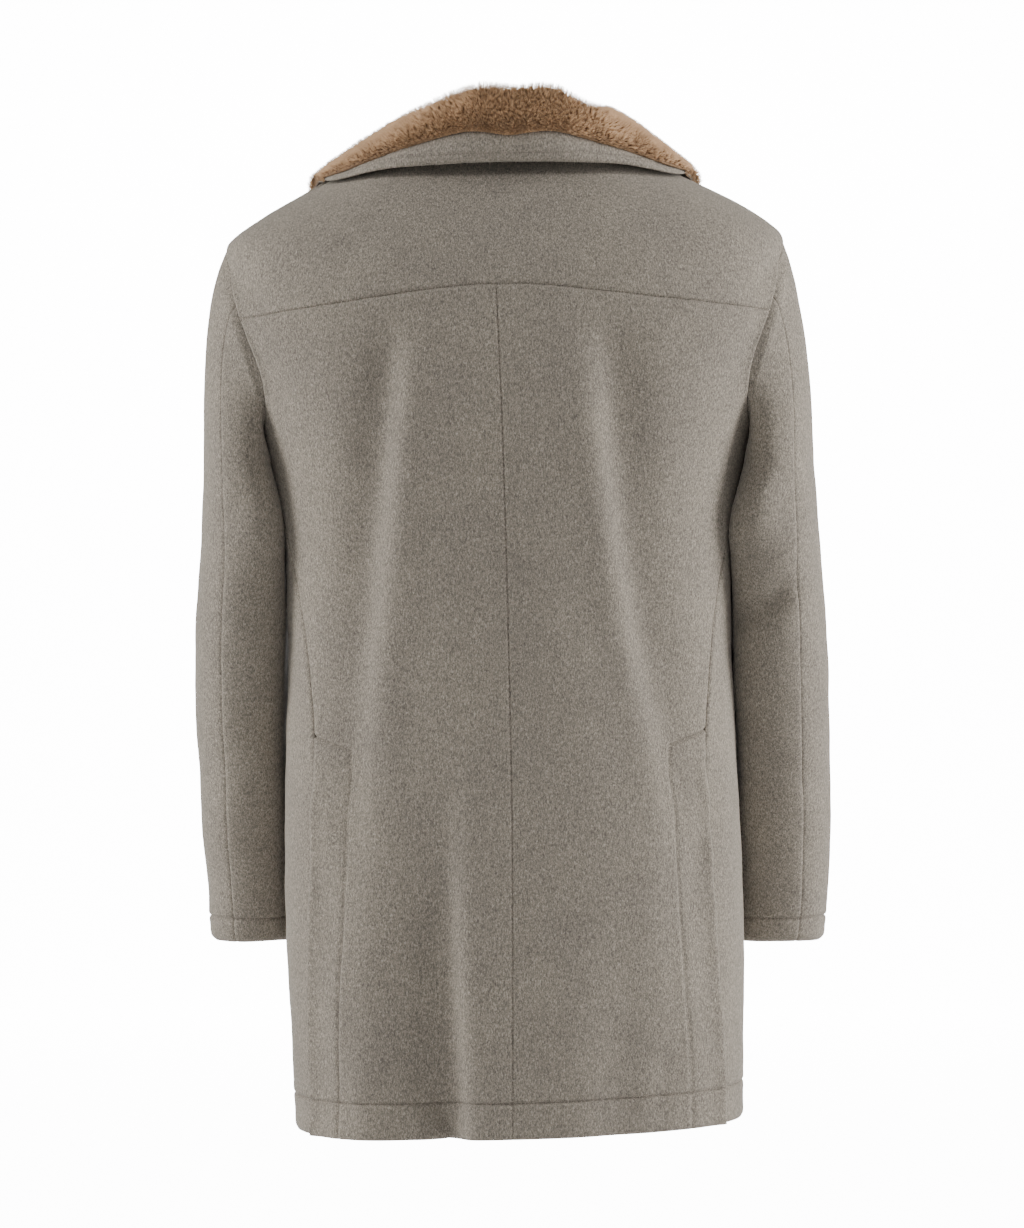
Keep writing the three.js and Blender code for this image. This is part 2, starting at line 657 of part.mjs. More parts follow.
// The sleeve is cut in a top piece and an under piece, which meet behind the elbow and in front of the arm.
const BACK_SEAM_TURN = ARMHOLE_TURNS[YOKE_ROWS - 1];
const FRONT_SEAM_TURN = ARMHOLE_TURNS[YOKE_ROWS + BACK_UPPER_ROWS + 4];
const SLEEVE_ROWS = 14; // below the cap
const SLEEVE_SHARES = [0, 0.025, 0.06, 0.1, 0.15, 0.2, 0.27, ...steps(SLEEVE_ROWS, CAP_SHARE, 1)];
function addSleevePiece(kind, side, turns) {
  const last = turns.length - 1;
  const quads = SLEEVE_SHARES.map((share) =>
    turns.map((turn, j) => {
      const inwards = (j === 0) - (j === last);
      const step = sub(sleevePoint(side, turn + TURN_STEP, share), sleevePoint(side, turn, share));
      return { share, turn: turn + (inwards * HALF_GAP * TURN_STEP) / Math.hypot(...step) };
    }),
  );
  const outer = quads.map((row) => row.map((q) => sleevePoint(side, q.turn, q.share)));
  const inner = quads.map((row, i) =>
    row.map((q, j) => {
      const normal = q.share === 0 ? armholeFrame(side, q.turn).normal : sleeveNormal(side, q.turn, q.share);
      return add(outer[i][j], normal, -CLOTH);
    }),
  );
  addMesh("sleeve_" + kind + "_" + SIDE_NAMES[side], wallGeometry(outer, inner), "wool");
}
function addSleeve(side) {
  const between = (low, high) => ARMHOLE_TURNS.filter((turn) => turn > low - TINY && turn < high + TINY);
  const before = between(FRONT_SEAM_TURN, 2 * Math.PI).map((turn) => turn - 2 * Math.PI);
  const after = between(0, BACK_SEAM_TURN).slice(1);
  addSleevePiece("top", side, [...before, ...after]);
  addSleevePiece("under", side, between(BACK_SEAM_TURN, FRONT_SEAM_TURN));
}

// The collar. It climbs from the neckline, rolls over, and falls to an edge that lies on the shoulders.
// station is 0 at the centre back and 1 at the front end; across is 0 at the neckline and 1 at the edge.
const NECK_ANGLES = [
  ...steps(NECK_COLUMNS, 0, Math.PI / 2),
  ...steps(FRONT_NECK_COLUMNS, Math.PI / 2, frontEdge(NECK_FRONT_Z)).slice(1, -2),
];
const COLLAR_END = NECK_ANGLES[NECK_ANGLES.length - 1];
const COLLAR_STATIONS = NECK_ANGLES.flatMap((angle, i) =>
  i === 0 ? [0] : [(NECK_ANGLES[i - 1] + angle) / 2 / COLLAR_END, angle / COLLAR_END],
);
const collarForm = table(
  ["edgeAngle", "edgeZ", "edgeClear", "standHeight", "rollOut"],
  [
    [0, 0, -30, 14, COLLAR_STAND, 3],
    [0.14, 27, -31, 13, 48, 3],
    [0.27, 52, -32, 9, 33, 2],
    [0.4, 74, -32, 4, 20, 2],
    [0.53, 90, -33, 2, 15, 3],
    [0.68, 112, -62, 2, 15, 4],
    [0.85, 134, -108, 2, 13, 4],
    [1, 145, -150, 2, 11, 4],
  ],
);
// The stand is uneven: what each side's is higher by
const standSkew = table(["left", "right"], [
  [0, 0, 0],
  [0.14, 1, -1],
  [0.27, 1, -3],
  [0.4, -3, 0],
  [0.53, -3, 5],
  [0.68, 0, 0],
]);
// How the section runs: how far along the body's surface, how high above it, and the roll's share
const collarSection = table(["run", "height", "roll"], [
  [0, 0, 0, 0],
  [0.2, -0.015, 0.5, 0],
  [0.36, -0.02, 0.9, 0.1],
  [0.42, 0.02, 1, 0.6],
  [0.48, 0.09, 0.94, 1],
  [0.7, 0.46, 0.5, 0.8],
  [1, 1, 0, 0],
]);

// Where a value falls in a rising list: the entry before it, and the share of the way to the next
function place(list, value) {
  let i = 0;
  while (i < list.length - 2 && value > list[i + 1]) i++;
  return { i, share: (value - list[i]) / (list[i + 1] - list[i]) };
}

// The neckline as it is cut, straight between the columns of the yoke and the fronts, and the way out of
// the cloth there
const COLLAR_GAP = 0.5;
function neckFrame(side, station) {
  const { i, share } = place(NECK_ANGLES, station * COLLAR_END);
  const corner = (k) => {
    const q = neckline(NECK_ANGLES[k]);
    const point = raisedPoint(side, q.angle, q.z, overlapRaise(side, q.angle, q.z));
    return { point, normal: bodyNormal(side, q.angle, q.z) };
  };
  const a = corner(i);
  const b = corner(i + 1);
  const mix = (key) => a[key].map((v, k) => lerp(v, b[key][k], share));
  const normal = mix("normal");
  const along = sub(b.point, a.point);
  const out = unit(cross(along, normal).map((v) => v * side));
  return { point: mix("point"), normal, out: out.map((v) => v * COLLAR_GAP) };
}

const COLLAR_LEAN = -9; // at its highest, the collar stands this far towards the wearer's right
const ROLL_AT = 0.42; // the share across the collar where the stand ends
const STAND_UP = [0, -0.06, 1];
function collarPoint(side, station, across) {
  const form = collarForm(station);
  const section = collarSection(across);
  const root = neckFrame(side, station);
  if (across === 0) return add(root.point, root.out);
  const start = neckline(station * COLLAR_END);
  const angle = lerp(start.angle, rad(form.edgeAngle), section.run);
  const z = lerp(start.z, form.edgeZ, section.run);
  const stand = form.standHeight + standSkew(station)[SIDE_NAMES[side]];
  const height = stand * section.height + form.edgeClear * smooth(ROLL_AT, 1, across) ** 1.5;
  const away = smooth(0, 0.75, section.run);
  const normal = bodyNormal(side, angle, z);
  const lift = unit([0, 1, 2].map((k) => lerp(STAND_UP[k], normal[k], away)));
  const outward = [side * Math.sin(angle), Math.cos(angle), 0];
  const base = raisedPoint(side, angle, z, overlapRaise(side, angle, z));
  const point = add(add(base, lift, height), outward, form.rollOut * section.roll);
  point[0] += (COLLAR_LEAN * height) / COLLAR_STAND;
  return add(point, root.out);
}

function collarNormal(side, station, across, reach = SHARE_STEP) {
  const at = (s, a) => collarPoint(side, clamp(s, 0, 1), clamp(a, 0.001, 1));
  const along = sub(at(station + reach, across), at(station - reach, across));
  const over = sub(at(station, across + reach), at(station, across - reach));
  return unit(cross(over, along).map((v) => v * side * -1));
}

function bothSides(stations, make) {
  const right = stations.slice(1).reverse().map((station) => make(-1, station));
  return [...right, ...stations.map((station) => make(1, station))];
}

// The top side of the wool collar: the neck's side of the stand, and the outside of the fall
const COLLAR_ACROSS = [0, 0.12, 0.24, 0.34, 0.4, 0.45, 0.52, 0.62, 0.74, 0.87, 1];
function collarTop(side, station, across) {
  if (across > 0) return add(collarPoint(side, station, across), collarNormal(side, station, across), CLOTH);
  return add(collarPoint(side, station, 0), neckFrame(side, station).normal, -CLOTH);
}

function addWoolCollar() {
  const layer = (at) =>
    COLLAR_ACROSS.map((across) =>
      bothSides(COLLAR_STATIONS, (side, station) => at(side, station, across)),
    );
  addMesh("collar", wallGeometry(layer(collarPoint), layer(collarTop)), "wool");
}

// A point on the wool collar's top side as it is built, flat between its rows and stations
function onCollar(side, station, across) {
  const s = place(COLLAR_STATIONS, station);
  const a = place(COLLAR_ACROSS, across);
  const corner = (i, j) => collarTop(side, COLLAR_STATIONS[s.i + j], COLLAR_ACROSS[a.i + i]);
  const edge = (i) => corner(i, 0).map((v, k) => lerp(v, corner(i, 1)[k], s.share));
  return edge(0).map((v, k) => lerp(v, edge(1)[k], a.share));
}

// The fur lies on the collar's top side. At the back it stops short of the wool collar's edge.
const furEnd = table(["across"], [
  [0, 0.715],
  [0.14, 0.69],
  [0.27, 0.75],
  [0.4, 0.91],
  [0.55, 0.985],
  [1, 0.985],
]);
const FUR_START = 0.15;
const FUR_CLEAR = 0.9;
const FUR_SMOOTHING = 0.06; // hair stands square to the collar's broad form
const FUR_STATIONS = [...COLLAR_STATIONS.slice(0, -1), 0.975, 0.988];
const FUR_FALL = [0.25, 0.5, 0.72, 0.88, 0.96, 1];
const FUR_RIM = [0, 0.012, 0.04]; // the first rows, close together, where the pelt's lower edge is round
// Each row's place across the collar: the stand and roll share the collar's rows, the fall is shared out.
function furRows(station) {
  const end = furEnd(station).across;
  const roll = COLLAR_ACROSS[6];
  const stand = [...FUR_RIM.map((step) => FUR_START + step), ...COLLAR_ACROSS.slice(2, 7)];
  const places = [...stand, ...FUR_FALL.map((share) => lerp(roll, end, share))];
  return places.map((across) => ({ across, share: (across - FUR_START) / (end - FUR_START) }));
}
function furThickness(share, station) {
  const side = lerp(FUR.inside, FUR.roll, smooth(0.1, 0.4, share));
  const full = lerp(side, FUR.outside, smooth(0.5, 0.8, share));
  const rim = clamp(Math.min(share / 0.14, (1 - share) / 0.12), 0, 1);
  const front = clamp((1 - station) / 0.05, 0, 1);
  const round = Math.sqrt(1 - (1 - rim) ** 2) * Math.sqrt(1 - (1 - front) ** 2);
  return lerp(FUR.edge, full, round);
}
function addFurCollar() {
  const lastStation = FUR_STATIONS[FUR_STATIONS.length - 1];
  const layer = (extra) =>
    furRows(0).map((_, row) =>
      bothSides(FUR_STATIONS, (side, station) => {
        const { across, share } = furRows(station)[row];
        const height = FUR_CLEAR + extra * furThickness(share, station / lastStation);
        const normal = collarNormal(side, station, across, FUR_SMOOTHING);
        return add(onCollar(side, station, across), normal, height);
      }),
    );
  addMesh("fur_collar", wallGeometry(layer(1), layer(0)), "fur");
}

// A four-hole button with a rim and a shallow well, facing +Z before it is turned to the coat's front
function solidOf(geometry) {
  const bare = geometry.index ? geometry.toNonIndexed() : geometry.clone();
  bare.deleteAttribute("normal");
  bare.deleteAttribute("uv");
  const merged = mergeVertices(bare, 1e-4);
  return new wasm.Manifold(
    new wasm.Mesh({
      numProp: 3,
      vertProperties: merged.attributes.position.array,
      triVerts: new Uint32Array(merged.index.array),
    }),
  );
}

const BUTTON_SIDES = 20;
const HOLE_SIDES = 6;
function buttonGeometry() {
  const { radius, thick, rim, well, holeRadius, holeOffset } = BUTTON;
  const profile = [
    [0, 0],
    [radius - 2, 0],
    [radius, thick * 0.45],
    [radius - 0.7, thick],
    [radius - 2.2, thick],
    [well, thick - rim],
    [0, thick - rim],
  ].map(([x, y]) => new THREE.Vector2(x, y));
  const disc = new THREE.LatheGeometry(profile, BUTTON_SIDES).rotateX(Math.PI / 2);
  let solid = solidOf(disc);
  for (const quarter of [0.25, 0.75, 1.25, 1.75]) {
    const angle = quarter * Math.PI;
    const hole = new THREE.CylinderGeometry(holeRadius, holeRadius, 4 * thick, HOLE_SIDES);
    hole.rotateX(Math.PI / 2);
    hole.translate(holeOffset * Math.cos(angle), holeOffset * Math.sin(angle), 0);
    solid = solid.subtract(solidOf(hole));
  }
  const mesh = solid.getMesh();
  const geometry = new THREE.BufferGeometry();
  geometry.setAttribute("position", new THREE.BufferAttribute(new Float32Array(mesh.vertProperties), 3));
  geometry.setIndex(new THREE.BufferAttribute(new Uint32Array(mesh.triVerts), 1));
  geometry.computeVertexNormals();
  return geometry;
}

const BUTTON_CLEAR = 0.32; // from the middle of the button's back to the cloth, which is a little crowned
function addButtons() {
  const geometry = buttonGeometry();
  BUTTON_Z.forEach((z, i) => {
    const spot = raisedPoint(1, Math.PI, z, OVERLAP_RISE + BUTTON_CLEAR);
    const normal = bodyNormal(1, Math.PI, z);
    const mesh = addMesh("button_" + (i + 1), geometry, "horn");
    mesh.position.set(...spot);
    mesh.quaternion.setFromUnitVectors(new THREE.Vector3(0, 0, 1), new THREE.Vector3(...normal));
  });
}

addYoke();
for (const side of [1, -1]) {
  addBack(side);
  addFront(side);
  addUnderlap(side);
  addSleeve(side);
}
addWoolCollar();
addFurCollar();
addButtons();

export default coat;
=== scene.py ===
# A single-breasted wool coat with a fur collar, hollow, as it hangs when worn, seen from behind.
# The shapes are worked out in millimetres, in the CAD's frame, and become metres as each mesh is made.

import math
from math import pi

import bmesh
import bpy
import numpy as np
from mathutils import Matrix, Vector
from mathutils.kdtree import KDTree


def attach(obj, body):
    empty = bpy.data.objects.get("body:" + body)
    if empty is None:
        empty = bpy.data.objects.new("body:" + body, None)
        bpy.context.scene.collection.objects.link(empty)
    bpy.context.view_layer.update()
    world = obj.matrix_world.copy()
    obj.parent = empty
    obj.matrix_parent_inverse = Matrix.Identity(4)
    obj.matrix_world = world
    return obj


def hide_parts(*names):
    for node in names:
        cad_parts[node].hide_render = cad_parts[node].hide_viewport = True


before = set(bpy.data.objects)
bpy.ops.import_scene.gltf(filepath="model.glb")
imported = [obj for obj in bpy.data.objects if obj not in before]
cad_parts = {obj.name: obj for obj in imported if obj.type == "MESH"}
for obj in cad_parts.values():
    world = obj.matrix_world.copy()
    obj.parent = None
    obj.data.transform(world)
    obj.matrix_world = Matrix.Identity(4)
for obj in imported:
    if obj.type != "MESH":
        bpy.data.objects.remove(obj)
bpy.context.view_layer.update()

# Driving dimensions, in millimetres
MM = 0.001
CLOTH = 3.0
HEM_Z = -867
UNDERARM_Y, UNDERARM_Z = 20, -256
SHOULDER_TIP_Y, SHOULDER_TIP_Z = -5, -81
NECK_POINT_Z = 3
NECK_BACK_Z = -14
NECK_FRONT_Z = -80
FRONT_OVERLAP = 30
YOKE_CENTRE_Z, YOKE_ARMHOLE_Z = -131, -154
VENT_TOP_Z = -530
VENT_UNDERLAP, VENT_SLOPE, VENT_TUCK, VENT_COVER, VENT_RISE, VENT_FADE = 42, 14, 9, 6, 3.6, 30
VENT_CURL = 2.8  # the free edge curls out this much more
VENT_RADIUS = 165
COLLAR_STAND = 48
CENTRE_UNDERARM_Z = -268
OVERLAP_RISE = CLOTH + 0.9
CUFF_Z = -711
HEM_STITCH = 31  # from the hem up to its stitching
CUFF_STITCH = 25
FACING_STITCH = 38  # from the vent's edge in to its stitching
COLLAR_STITCH = 9
FRONT_STITCH = 8
BUTTON_RADIUS, BUTTON_THICK = 12.5, 4.4
BUTTON_Z = (-128, -248, -368, -488)

# The camera: level, far behind the coat, at the height of its waist
CAMERA_DISTANCE = 4.0
CAMERA_X, CAMERA_Z = -0.0018, -0.416
CAMERA_LENS = 131.8
FLOOR_Z = -1.45

rng = np.random.default_rng(11)


# Small helpers
def lerp(a, b, t):
    return a + (b - a) * t


def smooth(low, high, value):
    t = np.clip((value - low) / (high - low), 0, 1)
    return t * t * (3 - 2 * t)


def size(v):
    return np.linalg.norm(v, axis=-1)


def unit(v):
    return v / np.maximum(np.linalg.norm(v, axis=-1, keepdims=True), 1e-12)


def bump(distance, width):
    return np.exp(-((distance / width) ** 2))


def hermite(t, start, end, span, leaving, arriving):
    return (
        (1 + 2 * t) * (1 - t) ** 2 * start
        + t * (1 - t) ** 2 * span * leaving
        + t * t * (3 - 2 * t) * end
        + t * t * (t - 1) * span * arriving
    )


def wrapped(angle):
    """The same angle, between -pi and pi."""
    return np.arctan2(np.sin(angle), np.cos(angle))


def nearest(values, goal):
    return int(np.argmin(np.abs(values - goal)))


def table(rows):
    """A smooth curve through rows of numbers: the first column is where, in rising order."""
    data = np.array(rows, float)
    at, values = data[:, 0], data[:, 1:]
    width = np.diff(at)[:, None]
    slope = np.diff(values, axis=0) / width
    tangent = np.empty_like(values)
    tangent[0], tangent[-1] = slope[0], slope[-1]
    tangent[1:-1] = (slope[:-1] * width[1:] + slope[1:] * width[:-1]) / (width[:-1] + width[1:])

    def look(where):
        x = np.clip(np.asarray(where, float), at[0], at[-1])
        i = np.clip(np.searchsorted(at, x, side="right") - 1, 0, len(at) - 2)
        w = width[i, 0][..., None]
        t = (x - at[i])[..., None] / w
        found = hermite(t, values[i], values[i + 1], w, tangent[i], tangent[i + 1])
        return [found[..., k] for k in range(found.shape[-1])]

    return look


def waves(seed, wavelength, count=9):
    """Soft irregular unevenness in space, from -1 to 1 or so."""
    source = np.random.default_rng(seed)
    direction = unit(source.normal(size=(count, 3)))
    length = wavelength * source.uniform(0.7, 1.5, count)
    phase = source.uniform(0, 2 * pi, count)

    def at(points):
        total = np.zeros(points.shape[:-1])
        for d, l, p in zip(direction, length, phase):
            total += np.sin(points @ d * (2 * pi / l) + p)
        return total / math.sqrt(count)

    return at


BROAD_WAVES = waves(3, 110)
SOFT_WAVES = waves(5, 42)
FINE_WAVES = waves(8, 15)


def graded(length, spacing, fine_at=(), fine=(0, 0.7, 1.5, 2.5, 3.8, 5.5)):
    """Shares from 0 to 1 along a length: evenly spaced, and close together round each fine place."""
    even = np.linspace(0, length, max(2, int(round(length / spacing))) + 1)
    close = [place + sign * step for place in fine_at for step in fine for sign in (-1, 1)]
    close = [c for c in close if 0 < c < length]
    keep = [e for e in even if all(abs(e - c) > 0.45 * fine[1] + 0.3 for c in close)]
    return np.array(sorted({0.0, float(length), *keep, *close})) / length


# The body's rings from hem to neck: half width, depth behind and in front, squareness behind and in front
body_ring = table([
    (-867, 198, 146, 146, 2.5, 2.4), (-777, 201, 143, 142, 2.5, 2.4),
    (-672, 203.5, 140, 138, 2.5, 2.4), (-547, 200.5, 133, 133, 2.45, 2.35),
    (-422, 197, 130.5, 129, 2.4, 2.3), (-372, 199, 132, 129, 2.4, 2.3),
    (-310, 206, 136, 130, 2.4, 2.3), (-256, 219, 138, 130, 2.4, 2.3),
    (-210, 236, 137, 125, 2.4, 2.3), (-186, 245, 135, 121, 2.4, 2.3),
    (-150, 251, 130, 111, 2.4, 2.3), (-116, 250, 123, 99, 2.35, 2.3),
    (-81, 243, 111, 86, 2.3, 2.2), (-62, 218, 103, 78, 2.25, 2.2),
    (-36, 170, 91, 66, 2.2, 2.2), (-14, 122, 77, 56, 2.2, 2.2),
    (3, 82, 66, 48, 2.2, 2.2),
])

# How far the body's middle stands off the centre plane, its lean, and how much its sides are lifted
body_lean = table([
    (-867, -8.5, 0.028, 3), (-724, -5, 0.022, 0), (-547, -1, 0.018, 0), (-404, 0.8, 0.018, 0),
    (-256, 3, 0.018, 0), (-150, 4.5, 0.018, 0), (3, 5, 0.02, 0),
])

# Long folds: behind or in front, how wide, and rows of height, x and depth (a ridge is over 0).
# A fold with two widths has the first on the left of its middle and the second on the right.
FOLDS = [
    (True, 21, [
        (-740, 156, 0), (-640, 150, -4), (-540, 143, -7), (-456, 136, -8.5),
        (-370, 128, -10.5), (-283, 117, -10.5), (-197, 106, -7), (-150, 99, 0),
    ]),
    (True, 18, [(-620, 126, 0), (-520, 116, 2.5), (-370, 98, 4), (-240, 86, 4), (-160, 80, 0)]),
    (True, (21, 27), [
        (-810, -176, 0), (-715, -168, -4), (-640, -160, -6), (-542, -147, -7.5), (-480, -130, -8),
        (-370, -111, -9.5), (-283, -102, -9), (-197, -96, -7), (-150, -90, 0),
    ]),
    (True, 18, [(-680, -132, 0), (-560, -122, 2.5), (-430, -98, 4), (-283, -76, 4), (-180, -66, 0)]),
    (True, (42, 16), [(-867, 64, -20), (-760, 65, -16), (-660, 63, -9), (-570, 59, -3), (-490, 57, 0)]),
    (True, (34, 38), [(-867, 134, 12), (-740, 134, 8), (-640, 132, 3), (-560, 130, 0)]),
    (True, 26, [(-867, -88, -5), (-740, -92, -3), (-620, -96, 0)]),
    (False, 24, [(-867, 108, -9), (-700, 110, -6), (-520, 116, -5), (-330, 112, -6), (-200, 104, 0)]),
    (False, 24, [(-867, -112, -8), (-700, -113, -7), (-520, -118, -5), (-330, -110, -6), (-200, -100, 0)]),
]
FOLD_FADE = 45
fold_paths = [(behind, width, table(rows)) for behind, width, rows in FOLDS]

# Short creases on the body: behind or in front, from (x, z) to (x, z), depth and half width
CREASES = [
    (True, (243, -108), (214, -150), -2.2, 7),
    (True, (-238, -100), (-212, -143), -2.0, 7),
    (True, (222, -178), (196, -232), -1.8, 10),
    (True, (-218, -170), (-190, -226), -1.8, 10),
    (True, (62, -836), (47, -882), -7.0, 4.0),
    (True, (84, -840), (70, -880), 3.0, 9),
    (True, (178, -590), (150, -700), -1.6, 11),
    (True, (-176, -580), (-150, -690), -1.6, 11),
    (True, (150, -800), (142, -870), -1.8, 9),
    (True, (-134, -800), (-130, -866), -1.8, 9),
    (True, (140, -410), (60, -445), -1.2, 15),
    (True, (-140, -430), (-52, -462), -1.2, 15),
    (True, (96, -60), (150, -110), -1.1, 14),
    (True, (-90, -58), (-146, -104), -1.1, 14),
    (True, (40, -190), (20, -300), -0.9, 16),
    (False, (196, -180), (120, -226), -2.0, 12),
    (False, (-196, -180), (-120, -230), -2.0, 12),
    (False, (160, -420), (60, -452), -1.6, 15),
    (False, (-160, -436), (-70, -460), -1.6, 15),
    (False, (150, -700), (130, -862), -2.4, 14),
    (False, (-150, -690), (-134, -862), -2.4, 14),
]


def crease_height(x, y, z):
    total = 0
    for behind, start, end, depth, width in CREASES:
        along = np.subtract(end, start)
        length = np.hypot(*along)
        ex, ez = along / length
        t = ((x - start[0]) * ex + (z - start[1]) * ez) / length
        across = (x - start[0]) * ez - (z - start[1]) * ex
        ends = smooth(-0.25, 0.3, t) * smooth(1.25, 0.7, t)
        total = total + depth * bump(across, width) * ends * smooth(0, FOLD_FADE, y if behind else -y)
    return total


def fold_height(x, y, z):
    total = np.zeros(np.broadcast(x, y, z).shape)
    for behind, width, path in fold_paths:
        centre, depth = path(z)
        left, right = np.broadcast_to(width, 2)
        across = bump(x - centre, np.where(x > centre, left, right))
        total += depth * across * smooth(0, FOLD_FADE, y if behind else -y)
    return total


def ring_at(z, behind):
    half, back, front, back_square, front_square = body_ring(z)
    return half, np.where(behind, back, front), np.where(behind, back_square, front_square)


def body_point(side, angle, z):
    s, c = np.sin(angle), np.cos(angle)
    half, depth, square = ring_at(z, c > 0)
    r = ((np.abs(s) / half) ** square + (np.abs(c) / depth) ** square) ** (-1 / square)
    r = r + fold_height(side * r * s, r * c, z)
    shift, tilt, lift = body_lean(z)
    x = side * r * s
    return np.stack([x + shift, r * c, z - x * tilt + lift * (x / 200) ** 2], -1)


def body_normal(side, angle, z):
    step = 2e-3
    around = body_point(side, angle + step, z) - body_point(side, angle - step, z)
    up = body_point(side, angle, z + 0.3) - body_point(side, angle, z - 0.3)
    return unit(np.cross(up, around) * np.asarray(side)[..., None])


def raised_point(side, angle, z, height):
    return body_point(side, angle, z) + body_normal(side, angle, z) * np.asarray(height)[..., None]


def body_surface(side, angle, z):
    """A grid on the body, its normals, and the height of the creases on it."""
    base = body_point(side, angle, z)
    return base, body_normal(side, angle, z), crease_height(base[..., 0], base[..., 1], z)


def overlap_raise(side, angle, z):
    x = body_ring(z)[2] * np.sin(angle)
    lapped = (np.asarray(side) > 0) & (np.cos(angle) <= 0)
    return np.where(lapped, OVERLAP_RISE * smooth(84, 52, x), 0)


def angle_at(y, z):
    half, depth, square = ring_at(z, y > 0)
    x = half * (1 - np.minimum(1, np.abs(y) / depth) ** square) ** (1 / square)
    return np.arctan2(x, y)


# The seams, each as an angle round the body and a height
ARMHOLE_BACK, ARMHOLE_FRONT, ARMHOLE_EGG = 62, 76, 0.2


def armhole(turn):
    """turn is 0 at the shoulder tip and pi at the underarm, down the back and up the front."""
    share = (1 - np.cos(turn)) / 2
    z = lerp(SHOULDER_TIP_Z, UNDERARM_Z, share)
    reach = np.where(np.sin(turn) > 0, ARMHOLE_BACK, ARMHOLE_FRONT)
    y = lerp(SHOULDER_TIP_Y, UNDERARM_Y, share)
    y = y + reach * np.sin(turn) * (1 - ARMHOLE_EGG * np.cos(turn))
    return angle_at(y, z), z


YOKE_TURN = math.acos(1 - 2 * (YOKE_ARMHOLE_Z - SHOULDER_TIP_Z) / (UNDERARM_Z - SHOULDER_TIP_Z))
BACK_SEAM_TURN = YOKE_TURN * 5 / 6
FRONT_SEAM_TURN = pi * 1.4

underarm_degrees = math.degrees(armhole(pi)[0])
side_seam_degrees = table([
    (-867, 62.5), (-530, 64.5), (-422, 70), (-340, 77), (-256, underarm_degrees),
])
back_seam_x = table([(-867, 6), (-700, 2), (-600, 0), (-420, 1), (-230, 4), (-131, 7)])
neck_height = table([
    (0, NECK_BACK_Z), (45, NECK_BACK_Z + 4), (90, NECK_POINT_Z), (114, -7), (124, -20),
    (135, -39), (151, -60), (167, -75), (180, NECK_FRONT_Z),
])


def side_seam(z):
    return np.radians(side_seam_degrees(z)[0])


def back_seam(z):
    return np.arcsin(back_seam_x(z)[0] / body_ring(z)[1])


def front_edge(z):
    return pi + np.arcsin(FRONT_OVERLAP / body_ring(z)[2])


def neckline(angle):
    return angle, neck_height(np.degrees(angle))[0]


def yoke_seam(side, share):
    drop = smooth(0.05, 1.4, share) / smooth(0.05, 1.4, 1)
    angle = lerp(side * back_seam(YOKE_CENTRE_Z), armhole(YOKE_TURN)[0], share)
    return angle, lerp(YOKE_CENTRE_Z, YOKE_ARMHOLE_Z, drop)


def shoulder_seam(share, towards):
    z = lerp(NECK_POINT_Z, SHOULDER_TIP_Z, share)
    tip = armhole(0 if towards > 0 else 2 * pi)[0]
    return lerp(pi / 2, tip, share), z


def upward(angle_at_height, low_z, high_z):
    """A border that climbs from one height to another along a seam."""
    def at(share):
        z = lerp(low_z, high_z, share)
        return angle_at_height(z), z

    return at


def level(z, start, end):
    """A border that runs round the body at one height."""
    return lambda share: (lerp(start, end, share), z + 0 * share)


def joined(first, second, split):
    """One border made of two: the first up to a share of it, the second from there on."""
    def at(share):
        before = np.minimum(share / split, 1)
        after = (np.maximum(share, split) - split) / (1 - split)
        return [np.where(share < split, a, b) for a, b in zip(first(before), second(after))]

    return at


def patch(low, high, start, end, u, v):
    """Fills four borders, each a function of a share that gives (angle, z), at shares u across and v up."""
    u, v = u[None, :], v[:, None]
    corner = [low(0.0), low(1.0), high(0.0), high(1.0)]
    filled = []
    for k in range(2):
        flat = lerp(lerp(corner[0][k], corner[1][k], u), lerp(corner[2][k], corner[3][k], u), v)
        ruled = lerp(low(u)[k], high(u)[k], v) + lerp(start(v)[k], end(v)[k], u)
        filled.append(ruled - flat)
    return filled


def two_patches(u, v_low, v_high, hem, middle, top, start, end):
    """A panel's angles and heights: one patch from the hem to its middle line, one from there up."""
    low = patch(hem, middle, start[0], end[0], u, v_low)
    high = patch(middle, top, start[1], end[1], u, v_high)
    return (np.concatenate([a + 0 * u, b + 0 * u]) for a, b in zip(low, high))


def both_sides(stations):
    """A row of stations on the right, from its far end to the middle, then the same on the left."""
    station = np.concatenate([stations[:0:-1], stations])
    side = np.concatenate([-np.ones(len(stations) - 1), np.ones(len(stations))])
    return side, station


# Materials: colours are linear
WOOL = (0.205, 0.181, 0.15)
WOOL_DARK = (0.105, 0.09, 0.073)
WOOL_LIGHT = (0.37, 0.335, 0.285)
FUR_ROOT = (0.235, 0.145, 0.078)
FUR_MIDDLE = (0.49, 0.312, 0.176)
FUR_TIP = (0.575, 0.37, 0.212)
THREAD, THREAD_DARK, THREAD_LIGHT = (0.13, 0.112, 0.09), (0.1, 0.086, 0.07), (0.17, 0.15, 0.12)
HORN, HORN_DARK = (0.05, 0.033, 0.022), (0.022, 0.014, 0.01)
HORN_BROWN, HORN_LIGHT = (0.06, 0.038, 0.022), (0.16, 0.1, 0.055)
# Places along the collar, in metres from its middle, and the fur's tone there: painted light at the middle
# and painted shade towards the ends, standing in for how the light falls on the fur
FUR_PAINTED_LIGHT_AND_SHADE = [(0.045, (1.12, 1.12, 1.12)), (0.115, (0.84, 0.82, 0.8))]


def new_material(name, base, roughness, sheen=0.0, sheen_roughness=0.5, tint=(1, 1, 1)):
    material = bpy.data.materials.new(name)
    material.use_nodes = True
    shader = material.node_tree.nodes["Principled BSDF"]
    shader.inputs["Base Color"].default_value = (*base, 1)
    shader.inputs["Roughness"].default_value = roughness
    shader.inputs["Sheen Weight"].default_value = sheen
    shader.inputs["Sheen Roughness"].default_value = sheen_roughness
    shader.inputs["Sheen Tint"].default_value = (*tint, 1)
    return material, shader


